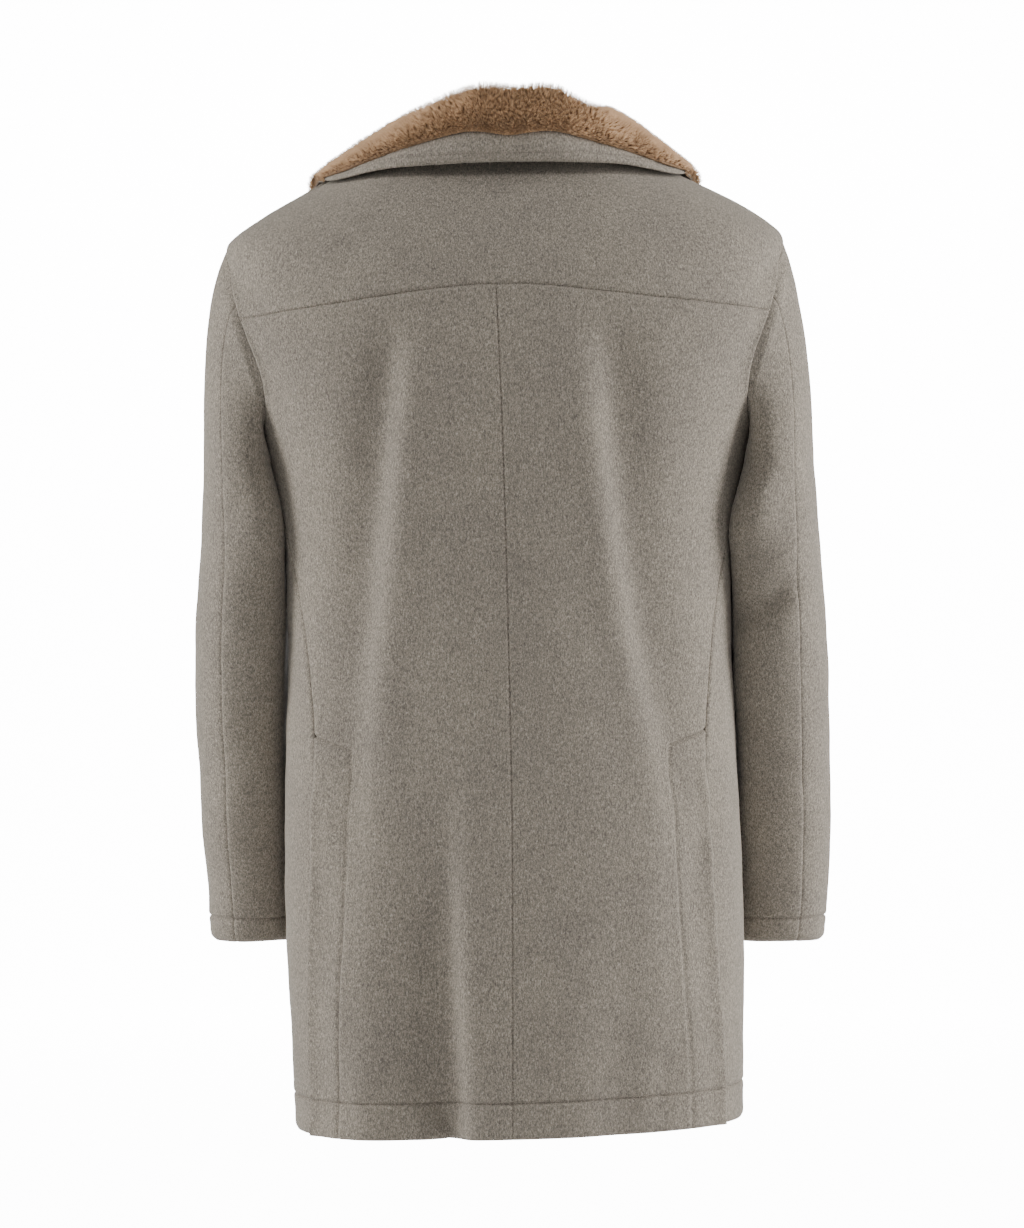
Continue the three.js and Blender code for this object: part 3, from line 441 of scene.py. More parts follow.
class Nodes:
    """Short calls for building a node tree."""

    def __init__(self, material):
        self.tree = material.node_tree
        self.coordinates = self.add("ShaderNodeTexCoord").outputs["Object"]

    def add(self, kind, **settings):
        node = self.tree.nodes.new(kind)
        for key, value in settings.items():
            setattr(node, key, value)
        return node

    def link(self, source, target):
        self.tree.links.new(source, target)

    def scaled(self, scale):
        node = self.add("ShaderNodeMapping")
        node.inputs["Scale"].default_value = scale
        self.link(self.coordinates, node.inputs["Vector"])
        return node.outputs["Vector"]

    def noise(self, scale, detail=2.0, rough=0.5, stretch=(1, 1, 1)):
        node = self.add("ShaderNodeTexNoise")
        node.inputs["Scale"].default_value = scale
        node.inputs["Detail"].default_value = detail
        node.inputs["Roughness"].default_value = rough
        self.link(self.scaled(stretch), node.inputs["Vector"])
        return node.outputs["Fac"]

    def ramp(self, value, stops):
        node = self.add("ShaderNodeValToRGB")
        ramp = node.color_ramp
        while len(ramp.elements) < len(stops):
            ramp.elements.new(0.5)
        for element, (place, colour) in zip(ramp.elements, stops):
            element.position = place
            element.color = (*colour, 1)
        self.link(value, node.inputs["Fac"])
        return node.outputs["Color"]

    def mix(self, factor, a, b, blend="MIX"):
        node = self.add("ShaderNodeMix", data_type="RGBA", blend_type=blend)
        for value, socket in ((factor, node.inputs[0]), (a, node.inputs[6]), (b, node.inputs[7])):
            if isinstance(value, bpy.types.NodeSocket):
                self.link(value, socket)
            else:
                socket.default_value = value if np.isscalar(value) else (*value, 1)
        return node.outputs[2]

    def bump(self, height, strength, distance, shader):
        node = self.add("ShaderNodeBump")
        node.inputs["Strength"].default_value = strength
        node.inputs["Distance"].default_value = distance
        self.link(height, node.inputs["Height"])
        self.link(node.outputs["Normal"], shader.inputs["Normal"])


def wool_material():
    """Milled flannel: pale and dark fibres mixed in the yarn, drawn out a little down the cloth."""
    material, shader = new_material("wool_flannel", WOOL, 0.94, 0.1, 0.5, (1, 0.96, 0.9))
    n = Nodes(material)
    fibre = n.noise(1250, 3, 0.65, (1, 1, 0.55))
    yarn = n.noise(820, 2, 0.55, (1, 1, 0.4))
    cloud = n.noise(14, 3, 0.6)
    melange = n.ramp(fibre, [(0.28, WOOL_DARK), (0.5, WOOL), (0.72, WOOL_LIGHT)])
    streak = n.ramp(yarn, [(0.32, (0.64, 0.64, 0.65)), (0.68, (1.36, 1.36, 1.35))])
    patchy = n.ramp(cloud, [(0.3, (0.93, 0.93, 0.94)), (0.7, (1.07, 1.07, 1.06))])
    colour = n.mix(1.0, n.mix(1.0, melange, streak, "MULTIPLY"), patchy, "MULTIPLY")
    n.link(colour, shader.inputs["Base Color"])
    n.bump(n.noise(1400, 2, 0.6, (1, 1, 0.6)), 0.3, 0.0005, shader)
    return material


def fur_material(name):
    """Dense brown hair: dark at the root and paler at the tip, in uneven tufts."""
    material, shader = new_material(name, FUR_TIP, 0.7)
    n = Nodes(material)
    tip = n.add("ShaderNodeAttribute", attribute_name="tip").outputs["Fac"]
    tuft = n.noise(95, 3, 0.6)
    strand = n.noise(900, 2, 0.5)
    along = n.ramp(tip, [(0.05, FUR_ROOT), (0.5, FUR_MIDDLE), (1.0, FUR_TIP)])
    tufts = n.ramp(tuft, [(0.32, (0.84, 0.83, 0.82)), (0.68, (1.12, 1.12, 1.12))])
    strands = n.ramp(strand, [(0.3, (0.8, 0.8, 0.8)), (0.7, (1.2, 1.2, 1.2))])
    place = n.add("ShaderNodeSeparateXYZ")
    n.link(n.coordinates, place.inputs["Vector"])
    off_centre = n.add("ShaderNodeMath", operation="ABSOLUTE")
    n.link(place.outputs["X"], off_centre.inputs[0])
    # Painted light and shade along the collar: the fur is lightened at its middle and darkened towards its
    # ends
    ends = n.ramp(off_centre.outputs[0], FUR_PAINTED_LIGHT_AND_SHADE)
    colour = n.mix(1.0, n.mix(1.0, along, tufts, "MULTIPLY"), strands, "MULTIPLY")
    colour = n.mix(1.0, colour, ends, "MULTIPLY")
    n.link(colour, shader.inputs["Base Color"])
    return material


def thread_material():
    material, shader = new_material("wool_thread", THREAD, 0.7)
    n = Nodes(material)
    colour = n.ramp(n.noise(700, 1), [(0.3, THREAD_DARK), (0.7, THREAD_LIGHT)])
    n.link(colour, shader.inputs["Base Color"])
    return material


def horn_material():
    material, shader = new_material("dark_horn", HORN, 0.32)
    n = Nodes(material)
    grain = n.noise(60, 5, 0.65, (1, 1, 3))
    colour = n.ramp(grain, [(0.35, HORN_DARK), (0.55, HORN_BROWN), (0.75, HORN_LIGHT)])
    n.link(colour, shader.inputs["Base Color"])
    n.bump(n.noise(400, 2), 0.08, 0.0004, shader)
    return material


wool = wool_material()
fur = fur_material("brown_fur")
thread = thread_material()
horn = horn_material()


# Meshes
def linked(name, data):
    thing = bpy.data.objects.new(name, data)
    bpy.context.collection.objects.link(thing)
    return thing


def smooth_mesh(name, vertices, faces, material):
    mesh = bpy.data.meshes.new(name)
    mesh.from_pydata(vertices, [], faces)
    mesh.materials.append(material)
    mesh.shade_smooth()
    return linked(name, mesh)


def make_object(name, vertices, faces, material, node=None):
    faces = faces.tolist() if hasattr(faces, "tolist") else faces
    piece = smooth_mesh(name, (np.asarray(vertices) * MM).tolist(), faces, material)
    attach(piece, "root")
    if node:
        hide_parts(node)
    return piece


def shell_faces(rows, columns):
    """Quads of a closed wall: an outer grid, an inner grid, and the rim between them."""
    index = np.arange(rows * columns).reshape(rows, columns)
    inner = index + rows * columns

    def quads(*corners):
        return np.stack([corner.ravel() for corner in corners], 1)

    a, b, c, d = index[:-1, :-1], index[:-1, 1:], index[1:, 1:], index[1:, :-1]
    outside, inside = quads(a, b, c, d), quads(*(corner + rows * columns for corner in (a, d, c, b)))
    low = quads(index[0, :-1], inner[0, :-1], inner[0, 1:], index[0, 1:])
    high = quads(index[-1, :-1], index[-1, 1:], inner[-1, 1:], inner[-1, :-1])
    start = quads(index[:-1, 0], index[1:, 0], inner[1:, 0], inner[:-1, 0])
    end = quads(index[:-1, -1], inner[:-1, -1], inner[1:, -1], index[1:, -1])
    return np.concatenate([outside, inside, low, high, start, end])


def grid_lengths(grid):
    """How far each point lies from the grid's first and last row and column, along the cloth."""
    along = size(np.diff(grid, axis=0))
    across = size(np.diff(grid, axis=1))
    up = np.concatenate([np.zeros((1, grid.shape[1])), along.cumsum(0)])
    over = np.concatenate([np.zeros((grid.shape[0], 1)), across.cumsum(1)], axis=1)
    return {"low": up, "high": up[-1:] - up, "start": over, "end": over[:, -1:] - over}


def grid_area(grid):
    a, b = grid[1:, :-1] - grid[:-1, :-1], grid[:-1, 1:] - grid[:-1, :-1]
    c, d = grid[1:, :-1] - grid[1:, 1:], grid[:-1, 1:] - grid[1:, 1:]
    return float((size(np.cross(a, b)) + size(np.cross(c, d))).sum() / 2)


EDGE_ROLL = {
    "seam": (1.5, 1.5),
    "centre": (0.9, 1.3),
    "flat": (0.6, 1.2),
    "free": (0.9, 1.3),
    "hem": (1.1, 1.6),
    "under": (0.2, 1.0),
}


def stitch_groove(distance, depth=1.8):
    """Cloth drawn in along a line of stitches, with a low swell on both sides."""
    return -depth * bump(distance, 1.35) + 0.16 * depth * bump(np.abs(distance) - 4.5, 2.6)


def edge_height(lengths, edges):
    """Cloth turns down into a seam, and rounds over at a free edge. edges: low, high, start, end."""
    total = 0
    for edge, kind in zip(("low", "high", "start", "end"), edges):
        depth, width = EDGE_ROLL[kind]
        total = total - depth * bump(lengths[edge], width)
        if kind == "hem":
            total = total + 0.5 * bump(lengths[edge] - 6, 7)
        if kind == "seam":
            total = total + 0.25 * bump(lengths[edge] - 5, 4)
    return total


def closed_sheet(name, outer, inner, lengths, area, material):
    """A closed wall between two grids, which stands for the node of its name."""
    faces = shell_faces(*outer.shape[:2])
    vertices = np.concatenate([outer.reshape(-1, 3), inner.reshape(-1, 3)])
    if signed_volume(vertices, faces) < 0:
        faces = faces[:, ::-1]
    piece = make_object(name, vertices, faces, material, name)
    width = lengths["start"][:, -1].max() * MM
    length = lengths["low"][-1].max() * MM
    area = min(area * MM * MM, 0.999 * width * length)


def cloth_wall(name, base, normal, height, edges):
    """A cloth piece on a surface, with its edges rounded."""
    lengths = grid_lengths(base)
    rolled = edge_height(lengths, edges)
    uneven = 0.45 * BROAD_WAVES(base) + 0.22 * SOFT_WAVES(base) + 0.07 * FINE_WAVES(base)
    outer = base + normal * (height + rolled + uneven)[..., None]
    inner = base + normal * (height + uneven - 0.8 * rolled - CLOTH)[..., None]
    closed_sheet(name, outer, inner, lengths, grid_area(base), wool)
    return outer


def signed_volume(vertices, faces):
    a, b, c, d = (vertices[faces[:, k]] for k in range(4))
    first = np.einsum("ij,ij->i", a, np.cross(b, c)).sum()
    return first + np.einsum("ij,ij->i", a, np.cross(c, d)).sum()


# Stitches are short threads, gathered from every seam and made into one piece at the end.
STITCH_LENGTH, STITCH_PITCH, STITCH_RADIUS = 2.7, 3.7, 0.26
stitches = []


def stitch_line(points):
    points = np.asarray(points, float)
    length = np.concatenate([[0], size(np.diff(points, axis=0)).cumsum()])
    count = int(length[-1] / STITCH_PITCH)
    for k in range(count):
        middle = (k + 0.5) * STITCH_PITCH
        places = [middle - STITCH_LENGTH / 2, middle + STITCH_LENGTH / 2]
        ends = [[np.interp(at, length, points[:, axis]) for axis in range(3)] for at in places]
        stitches.append(ends)


def add_stitching():
    """Each stitch is a thin six-sided thread that dips into the cloth at both ends."""
    ends = np.array(stitches)
    along = unit(ends[:, 1] - ends[:, 0])
    side = unit(np.cross(along, np.array([0.31, 0.52, 0.8])))
    top = np.cross(along, side)
    turn = np.arange(6) * pi / 3
    ring = np.cos(turn)[None, :, None] * side[:, None] + np.sin(turn)[None, :, None] * top[:, None]
    rings = []
    for share, radius in ((0, 0.35), (0.18, 1), (0.82, 1), (1, 0.35)):
        centre = lerp(ends[:, 0], ends[:, 1], share)[:, None]
        rings.append(centre + ring * radius * STITCH_RADIUS)
    vertices = np.stack(rings, 1).reshape(-1, 3)
    faces = []
    for k in range(3):
        for j in range(6):
            n = (j + 1) % 6
            faces.append((6 * k + j, 6 * k + n, 6 * k + 6 + n, 6 * k + 6 + j))
    quads = np.array(faces)
    all_quads = (quads[None] + 24 * np.arange(len(ends))[:, None, None]).reshape(-1, 4)
    two_caps = (5, 4, 3, 2, 1, 0), (18, 19, 20, 21, 22, 23)
    caps = [tuple(24 * k + corner for corner in cap) for k in range(len(ends)) for cap in two_caps]
    make_object("stitching", vertices, all_quads.tolist() + caps, thread)


# The body's panels
SIDES = {1: "left", -1: "right"}
SPACING = 4.4


ARMHOLE_LIP = 3.0
FACING_TOP_Z = VENT_TOP_Z - 2
FACING_SLANT = 0.33


def facing_groove(lengths, z):
    """The vent's facing is stitched down along its edge, and across its top on a slant."""
    from_edge = lengths["end"]
    top = FACING_TOP_Z + (FACING_STITCH - from_edge) * FACING_SLANT
    upright = stitch_groove(from_edge - FACING_STITCH, 1.3) * smooth(top + 4, top - 2, z)
    slant = stitch_groove(z - top, 2.3) * smooth(FACING_STITCH + 2, FACING_STITCH - 1, from_edge)
    hollow = bump(from_edge - FACING_STITCH * 0.55, 11) * smooth(FACING_TOP_Z - 60, HEM_Z + 60, z)
    return np.where(np.abs(upright) > np.abs(slant), upright, slant) - 1.4 * hollow


def armhole_lip(from_edge, z):
    """Behind, the body's edge stands a little over the sleeve that is set into it."""
    along = smooth(-98, -128, z) * smooth(UNDERARM_Z + 6, UNDERARM_Z + 40, z)
    return ARMHOLE_LIP * bump(from_edge, 3) * along


# Each panel's rough width and its heights below and above the underarm, which only set its grid
BACK_WIDTH, BACK_BELOW, BACK_ABOVE = 205, 599, 130
FRONT_WIDTH, FRONT_BELOW, FRONT_ABOVE, FRONT_SPACING = 290, 605, 190, 4.6
YOKE_WIDTH, YOKE_LENGTH = 235, 125
CREASE_COLUMNS = 44, 50, 56  # closer columns where the hem is creased


def add_back(side):
    def seam(z):
        return side * back_seam(z)

    def side_angle(z):
        free = smooth(VENT_TOP_Z - VENT_FADE / 2, VENT_TOP_Z - 2 * VENT_FADE, z)
        return side_seam(z) + free * VENT_COVER / body_ring(z)[0]

    def lower_high(u):
        angle = lerp(seam(CENTRE_UNDERARM_Z), side_angle(UNDERARM_Z), u)
        return angle, lerp(CENTRE_UNDERARM_Z, UNDERARM_Z, u**3)

    slant_rows = tuple(VENT_TOP_Z - HEM_Z - d for d in (-10, -2, 4))
    u = graded(BACK_WIDTH, SPACING, (0, *CREASE_COLUMNS, BACK_WIDTH - FACING_STITCH, BACK_WIDTH))
    v_low = graded(BACK_BELOW, SPACING, (0, HEM_STITCH, *slant_rows))
    v_high = graded(BACK_ABOVE, SPACING, (BACK_ABOVE,))[1:]
    centre = upward(seam, HEM_Z, CENTRE_UNDERARM_Z), upward(seam, CENTRE_UNDERARM_Z, YOKE_CENTRE_Z)
    hem = level(HEM_Z, seam(HEM_Z), side_angle(HEM_Z))
    armhole_edge = lambda share: armhole(lerp(pi, YOKE_TURN, share))
    sides = upward(side_angle, HEM_Z, UNDERARM_Z), armhole_edge
    top = lambda share: yoke_seam(side, share)
    angle, z = two_patches(u, v_low, v_high, hem, lower_high, top, centre, sides)
    inwards = (side_angle(z) - angle) * VENT_RADIUS
    rise = VENT_RISE * smooth(VENT_TOP_Z + VENT_FADE / 2, VENT_TOP_Z - VENT_FADE / 2, z)
    rise = rise * smooth(VENT_UNDERLAP + CLOTH, VENT_UNDERLAP - VENT_FADE, inwards)
    base, normal, creases = body_surface(side, angle, z)
    lengths = grid_lengths(base)
    free = smooth(VENT_TOP_Z, VENT_TOP_Z - 60, z)
    rise = rise + VENT_CURL * free * smooth(14, 0, lengths["end"]) * (1 + 0.15 * SOFT_WAVES(base))
    height = rise + creases + facing_groove(lengths, z)
    height = height + stitch_groove(lengths["low"] - HEM_STITCH) + armhole_lip(lengths["end"], z)
    edges = "hem", "seam", "centre", "seam"
    outer = cloth_wall("back_" + SIDES[side], base, normal, height, edges)
    hem_row = nearest(lengths["low"][:, 5], HEM_STITCH)
    stitch_line(outer[hem_row])
    facing_column = nearest(lengths["end"][40], FACING_STITCH)
    top_row = nearest(z[:, facing_column], FACING_TOP_Z)
    stitch_line(outer[hem_row:top_row, facing_column])
    slant = []
    for column in range(facing_column, len(u)):
        goal = FACING_TOP_Z + (FACING_STITCH - lengths["end"][top_row, column]) * FACING_SLANT
        slant.append([np.interp(goal, z[:, column], outer[:, column, k]) for k in range(3)])
    stitch_line(slant)


def add_underlap(side):
    z = np.linspace(HEM_Z + 1, VENT_TOP_Z, 90)[:, None]
    slope = VENT_SLOPE * smooth(VENT_TOP_Z - 1.5 * VENT_FADE, VENT_TOP_Z, z)
    start = side_seam(z) - (VENT_UNDERLAP - slope) / VENT_RADIUS
    end = side_seam(z) + VENT_TUCK / VENT_RADIUS
    angle = lerp(start, end, graded(51, SPACING, (0, 51))[None, :])
    z = z + 0 * angle
    base, normal = body_point(side, angle, z), body_normal(side, angle, z)
    height = -(CLOTH + 1.0) + 0 * z
    edges = "hem", "free", "free", "under"
    cloth_wall("vent_underlap_" + SIDES[side], base, normal, height, edges)


NECK_SHARE = 5 / 12


def add_yoke():
    high = joined(
        lambda share: neckline(pi / 2 * share), lambda share: shoulder_seam(share, 1), NECK_SHARE
    )

    def half(side, u, v):
        def middle(t):
            return lerp(side * back_seam(YOKE_CENTRE_Z), 0, t), lerp(YOKE_CENTRE_Z, NECK_BACK_Z, t)

        def end(t):
            return armhole(lerp(YOKE_TURN, 0, t))

        return patch(lambda s: yoke_seam(side, s), high, middle, end, u, v)

    u = graded(YOKE_WIDTH, SPACING, (YOKE_WIDTH,))
    v = graded(YOKE_LENGTH, SPACING, (0, YOKE_LENGTH))
    left, right = half(1, u, v), half(-1, u, v)
    halves = zip(left, right)
    angle, z = (np.concatenate([(b + 0 * u)[:, :0:-1], a + 0 * u], axis=1) for a, b in halves)
    side = both_sides(u)[0][None, :] + 0 * angle
    base, normal, creases = body_surface(side, angle, z)
    lengths = grid_lengths(base)
    height = creases + armhole_lip(np.minimum(lengths["start"], lengths["end"]), z)
    cloth_wall("back_yoke", base, normal, height, ["seam"] * 4)


SHOULDER_SHARE = 0.5


def add_front(side):
    def lower_high(u):
        angle = lerp(side_seam(UNDERARM_Z), front_edge(CENTRE_UNDERARM_Z), u)
        return angle, lerp(UNDERARM_Z, CENTRE_UNDERARM_Z, 1 - (1 - u) ** 4)

    top = joined(
        lambda share: shoulder_seam(1 - share, -1),
        lambda share: neckline(lerp(pi / 2, front_edge(NECK_FRONT_Z), share)),
        SHOULDER_SHARE,
    )
    u = graded(FRONT_WIDTH, FRONT_SPACING, (0, FRONT_WIDTH - FRONT_STITCH, FRONT_WIDTH))
    v_low = graded(FRONT_BELOW, FRONT_SPACING, (0, HEM_STITCH))
    v_high = graded(FRONT_ABOVE, FRONT_SPACING, (FRONT_ABOVE,))[1:]
    edge = [upward(front_edge, HEM_Z, CENTRE_UNDERARM_Z)]
    edge.append(upward(front_edge, CENTRE_UNDERARM_Z, NECK_FRONT_Z))
    hem = level(HEM_Z, side_seam(HEM_Z), front_edge(HEM_Z))
    armhole_edge = lambda share: armhole(lerp(pi, 2 * pi, share))
    sides = upward(side_seam, HEM_Z, UNDERARM_Z), armhole_edge
    angle, z = two_patches(u, v_low, v_high, hem, lower_high, top, sides, edge)
    base, normal, creases = body_surface(side, angle, z)
    lengths = grid_lengths(base)
    height = overlap_raise(side, angle, z) + creases
    height = height + stitch_groove(lengths["low"] - HEM_STITCH)
    height = height + stitch_groove(lengths["end"] - FRONT_STITCH, 0.7)
    edges = "hem", "seam", "seam", "free"
    outer = cloth_wall("front_" + SIDES[side], base, normal, height, edges)
    hem_row = nearest(lengths["low"][:, 5], HEM_STITCH)
    stitch_line(outer[hem_row])
    edge_column = nearest(lengths["end"][40], FRONT_STITCH)
    stitch_line(outer[hem_row:, edge_column])


# The sleeves. A ring's turn is 0 at the arm's outside, pi / 2 behind, pi at its inside.
# Rows: height, centre y, half depth, and centre x (outwards) and half width on the left and the right
sleeve_ring = table([
    (CUFF_Z, -88, 49, 230.5, 40, 241, 43.5),
    (-672, -76, 52, 233, 39.5, 244, 43.5),
    (-610, -58, 57, 236, 41.5, 243, 46.5),
    (-547, -41, 62, 236.5, 43, 240.5, 47),
    (-484, -27, 66, 237, 44.5, 238, 47.5),
    (-422, -15, 69, 236, 44, 236.5, 46),
    (-372, -9, 72, 234, 42, 235, 43),
    (-285, -4, 77, 239.5, 32.5, 235.5, 34.5),
])
SLEEVE_TOP_Z = -285
SLEEVE_SQUARE = 2.25
CUFF_TUCK = 3
ARM_CLEAR, PRESS_SOFTNESS = 1.0, 3  # where the arm touches the body, the sleeve is pressed flat
CAP_SHARE = 0.34
CAP_LENGTH = 0.95
SLEEVE_GAP = -0.6  # the sleeve's edge is sewn in just under the body's

# Creases of each arm: height, turn in degrees, depth, how tall, how wide in degrees, slant
ARM_CREASES = {
    1: [
        (-325, 140, 16, 50, 38, 0),
        (-560, 60, -4, 22, 50, 0),
        (-520, 150, -3, 18, 60, 0),
        (-455, 250, -5, 20, 60, 0),
        (-330, 75, -2.0, 14, 45, 22),
        (-610, 85, -2.0, 12, 55, -18),
        (-655, 40, -1.6, 13, 40, 20),
        (-300, 20, -1.5, 20, 35, 30),
    ],
    -1: [
        (-470, 255, -5, 20, 60, 0),
        (-336, 140, 26, 44, 42, -26),
        (-402, 98, -9, 15, 62, -30),
        (-380, 60, 3, 11, 45, -30),
        (-310, 80, -2.0, 14, 45, -20),
        (-560, 70, -2.2, 14, 50, 18),
        (-640, 50, -1.6, 13, 40, -20),
    ],
}


def arm_ring_point(side, turn, z):
    y, half_depth, *left_and_right = sleeve_ring(z)
    x, half_width = left_and_right[:2] if side > 0 else left_and_right[2:]
    c, s = np.cos(turn), np.sin(turn)
    r = (np.abs(c) ** SLEEVE_SQUARE + np.abs(s) ** SLEEVE_SQUARE) ** (-1 / SLEEVE_SQUARE)
    for middle, at, depth, tall, wide, slant in ARM_CREASES[side]:
        across = wrapped(turn - math.radians(at))
        reach = ((z - middle - slant * across) / tall) ** 2 + (across / math.radians(wide)) ** 2
        r = r + depth / half_depth * np.exp(-reach)
    r = r - CUFF_TUCK / half_width * smooth(CUFF_Z + 9, CUFF_Z, z) ** 2
    x, y = x + half_width * r * c, y + half_depth * r * s
    limit = side * body_point(side, angle_at(y, z), z)[..., 0] + ARM_CLEAR
    pressed = (x + limit + np.hypot(x - limit, PRESS_SOFTNESS)) / 2
    return np.stack([side * pressed, y, z + 0 * turn], -1)


def armhole_frame(side, turn):
    angle, z = armhole(turn)
    normal = body_normal(side, angle, z)
    along = body_point(side, *armhole(turn + 0.01)) - body_point(side, *armhole(turn - 0.01))
    out = unit(np.cross(normal, along))
    sideways = np.abs(out[..., 0]) > 0.2
    flip = np.where(sideways, out[..., 0] * side < 0, out[..., 2] * np.cos(turn) > 0)
    out = np.where(flip[..., None], -out, out)
    return body_point(side, angle, z), normal, out


def sleeve_point(side, turn, share):
    turn, share = np.broadcast_arrays(turn, share)
    z = lerp(SLEEVE_TOP_Z, CUFF_Z, (share - CAP_SHARE) / (1 - CAP_SHARE))
    lower = arm_ring_point(side, turn, np.minimum(z, SLEEVE_TOP_Z))
    point, _, out = armhole_frame(side, turn)
    start = point + out * SLEEVE_GAP
    end = arm_ring_point(side, turn, SLEEVE_TOP_Z + 0 * turn)
    low = (1 - np.cos(turn)) / 2
    behind = np.sin(turn)
    away = unit(np.stack([
        side * lerp(0.4 if side > 0 else 0.33, 0.25, low**2),
        np.where(behind > 0, -0.3, -0.15) * behind,
        lerp(-0.9, -0.6, low),
    ], -1))
    length = np.linalg.norm(end - start, axis=-1, keepdims=True) * CAP_LENGTH
    t = np.clip(share / CAP_SHARE, 0, 1)[..., None]
    upper = hermite(t, start, end, length, away, np.array([0, 0, -1]))
    return np.where((share >= CAP_SHARE)[..., None], lower, upper)


def sleeve_normal(side, turn, share):
    around = sleeve_point(side, turn + 0.01, share) - sleeve_point(side, turn - 0.01, share)
    down = sleeve_point(side, turn, np.minimum(1, share + 0.004))
    down = down - sleeve_point(side, turn, np.maximum(0, share - 0.004))
    normal = unit(np.cross(around, down) * -side)
    return np.where((share <= 0)[..., None], armhole_frame(side, turn)[1], normal)


SLEEVE_LENGTH, SLEEVE_RADIUS = 640, 55  # roughly, for the grid
# The sleeve sinks in a little behind, where it is set in below the body
SINK, SINK_TURN, SINK_WIDTH = 6.5, math.radians(80), 42
CAP_PUCKERS = [(20, -0.5), (44, 0.35), (66, -0.45), (-18, -0.5), (-44, 0.35), (-70, -0.4)]


def add_sleeve_piece(kind, side, from_turn, to_turn):
    stitch_place = SLEEVE_LENGTH - CUFF_STITCH
    shares = graded(SLEEVE_LENGTH, SPACING, (0, stitch_place, SLEEVE_LENGTH))[:, None]
    span = (to_turn - from_turn) * SLEEVE_RADIUS
    turns = lerp(from_turn, to_turn, graded(span, SPACING, (0, span)))[None, :]
    turn, share = np.broadcast_arrays(turns, shares)
    base = sleeve_point(side, turn, share)
    normal = sleeve_normal(side, turn, share)
    lengths = grid_lengths(base)
    height = stitch_groove(lengths["high"] - CUFF_STITCH)
    for degrees, depth in CAP_PUCKERS:
        off = np.degrees(wrapped(turn - math.radians(degrees)))
        height = height + depth * bump(off, 9) * smooth(70, 8, lengths["low"])
    behind = np.degrees(wrapped(turn - SINK_TURN))
    height = height - SINK * bump(behind, SINK_WIDTH) * smooth(17, 1, lengths["low"])
    edges = "seam", "hem", "flat", "flat"
    outer = cloth_wall(f"sleeve_{kind}_{SIDES[side]}", base, normal, height, edges)
    stitch_line(outer[nearest(lengths["high"][:, 5], CUFF_STITCH)])


# The collar. station is 0 at the centre back and 1 at the front end. across is 0 at the neckline
# and 1 at the edge.
COLLAR_END = lerp(pi / 2, float(front_edge(NECK_FRONT_Z)), 5 / 7)
COLLAR_HALF, COLLAR_WIDTH = 290, 120  # roughly, for the grid
COLLAR_LEAN = -9
COLLAR_GAP = 0.5
# Rows: station, the edge's angle in degrees, its height, its clearance, the stand's height,
# the roll's reach
collar_form = table([
    (0, 0, -30, 14, COLLAR_STAND, 3),
    (0.14, 27, -31, 13, 48, 3),
    (0.27, 52, -32, 9, 33, 2),
    (0.4, 71, -35.5, 3, 20, 2),
    (0.53, 90, -32, 2, 15, 3),
    (0.68, 112, -62, 2, 15, 4),
    (0.85, 134, -108, 2, 13, 4),
    (1, 145, -150, 2, 11, 4),
])
# How much higher the stand is on the left and on the right
stand_skew = table([
    (0, 0, 0), (0.14, 1, -1), (0.27, 1, -3), (0.4, -3, 0), (0.53, -3, 5), (0.68, 0, 0),
])
# Rows: across, the run along the body, the height above it, the roll
collar_section = table([
    (0, 0, 0, 0), (0.2, -0.015, 0.5, 0), (0.36, -0.02, 0.9, 0.1), (0.42, 0.02, 1, 0.6),
    (0.48, 0.09, 0.94, 1), (0.7, 0.46, 0.5, 0.8), (1, 1, 0, 0),
])
fur_end = table([(0, 0.735), (0.14, 0.715), (0.27, 0.79), (0.36, 0.9), (0.44, 0.985), (1, 0.985)])
FUR_START = 0.15


def collar_point(side, station, across):
    side, station, across = np.broadcast_arrays(side, station, across)
    edge_angle, edge_z, edge_clear, stand, roll_out = collar_form(station)
    run, rise, roll = collar_section(across)
    left_skew, right_skew = stand_skew(station)
    stand = stand + np.where(side > 0, left_skew, right_skew)
    root_angle, root_z = neckline(station * COLLAR_END)
    angle = lerp(root_angle, np.radians(edge_angle), run)
    z = lerp(root_z, edge_z, run)
    height = stand * rise + edge_clear * smooth(0.42, 1, across) ** 1.5
    away = smooth(0, 0.75, run)[..., None]
    normal = body_normal(side, angle, z)
    lift = unit(lerp(np.array([0, -0.06, 1]), normal, away))
    outward = np.stack([side * np.sin(angle), np.cos(angle), 0 * angle], -1)
    point = raised_point(side, angle, z, overlap_raise(side, angle, z))
    point = point + lift * height[..., None] + outward * (roll_out * roll)[..., None]
    point[..., 0] += COLLAR_LEAN * height / COLLAR_STAND
    point[..., 2] += COLLAR_GAP
    return point


def collar_normal(side, station, across, reach=0.004):
    def at(s, a):
        return collar_point(side, np.clip(s, 0, 1), np.clip(a, 0.001, 1))

    along = at(station + reach, across) - at(station - reach, across)
    over = at(station, across + reach) - at(station, across - reach)
    return unit(np.cross(over, along) * -np.asarray(side)[..., None])


def add_collar():
    stations = graded(COLLAR_HALF, 3.4, (COLLAR_HALF,))
    side, station = both_sides(stations)
    across = graded(COLLAR_WIDTH, 2.6, (COLLAR_WIDTH - COLLAR_STITCH, COLLAR_WIDTH))
    side, station, across = np.broadcast_arrays(side[None], station[None], across[:, None])
    under = collar_point(side, station, across)
    normal = collar_normal(side, station, across)
    base = under + normal * CLOTH
    lengths = grid_lengths(base)
    height = stitch_groove(lengths["high"] - COLLAR_STITCH, 0.7)
    outer = cloth_wall("collar", base, normal, height, ("under", "free", "free", "free"))
    stitch_line(outer[nearest(lengths["high"][:, outer.shape[1] // 2], COLLAR_STITCH)])


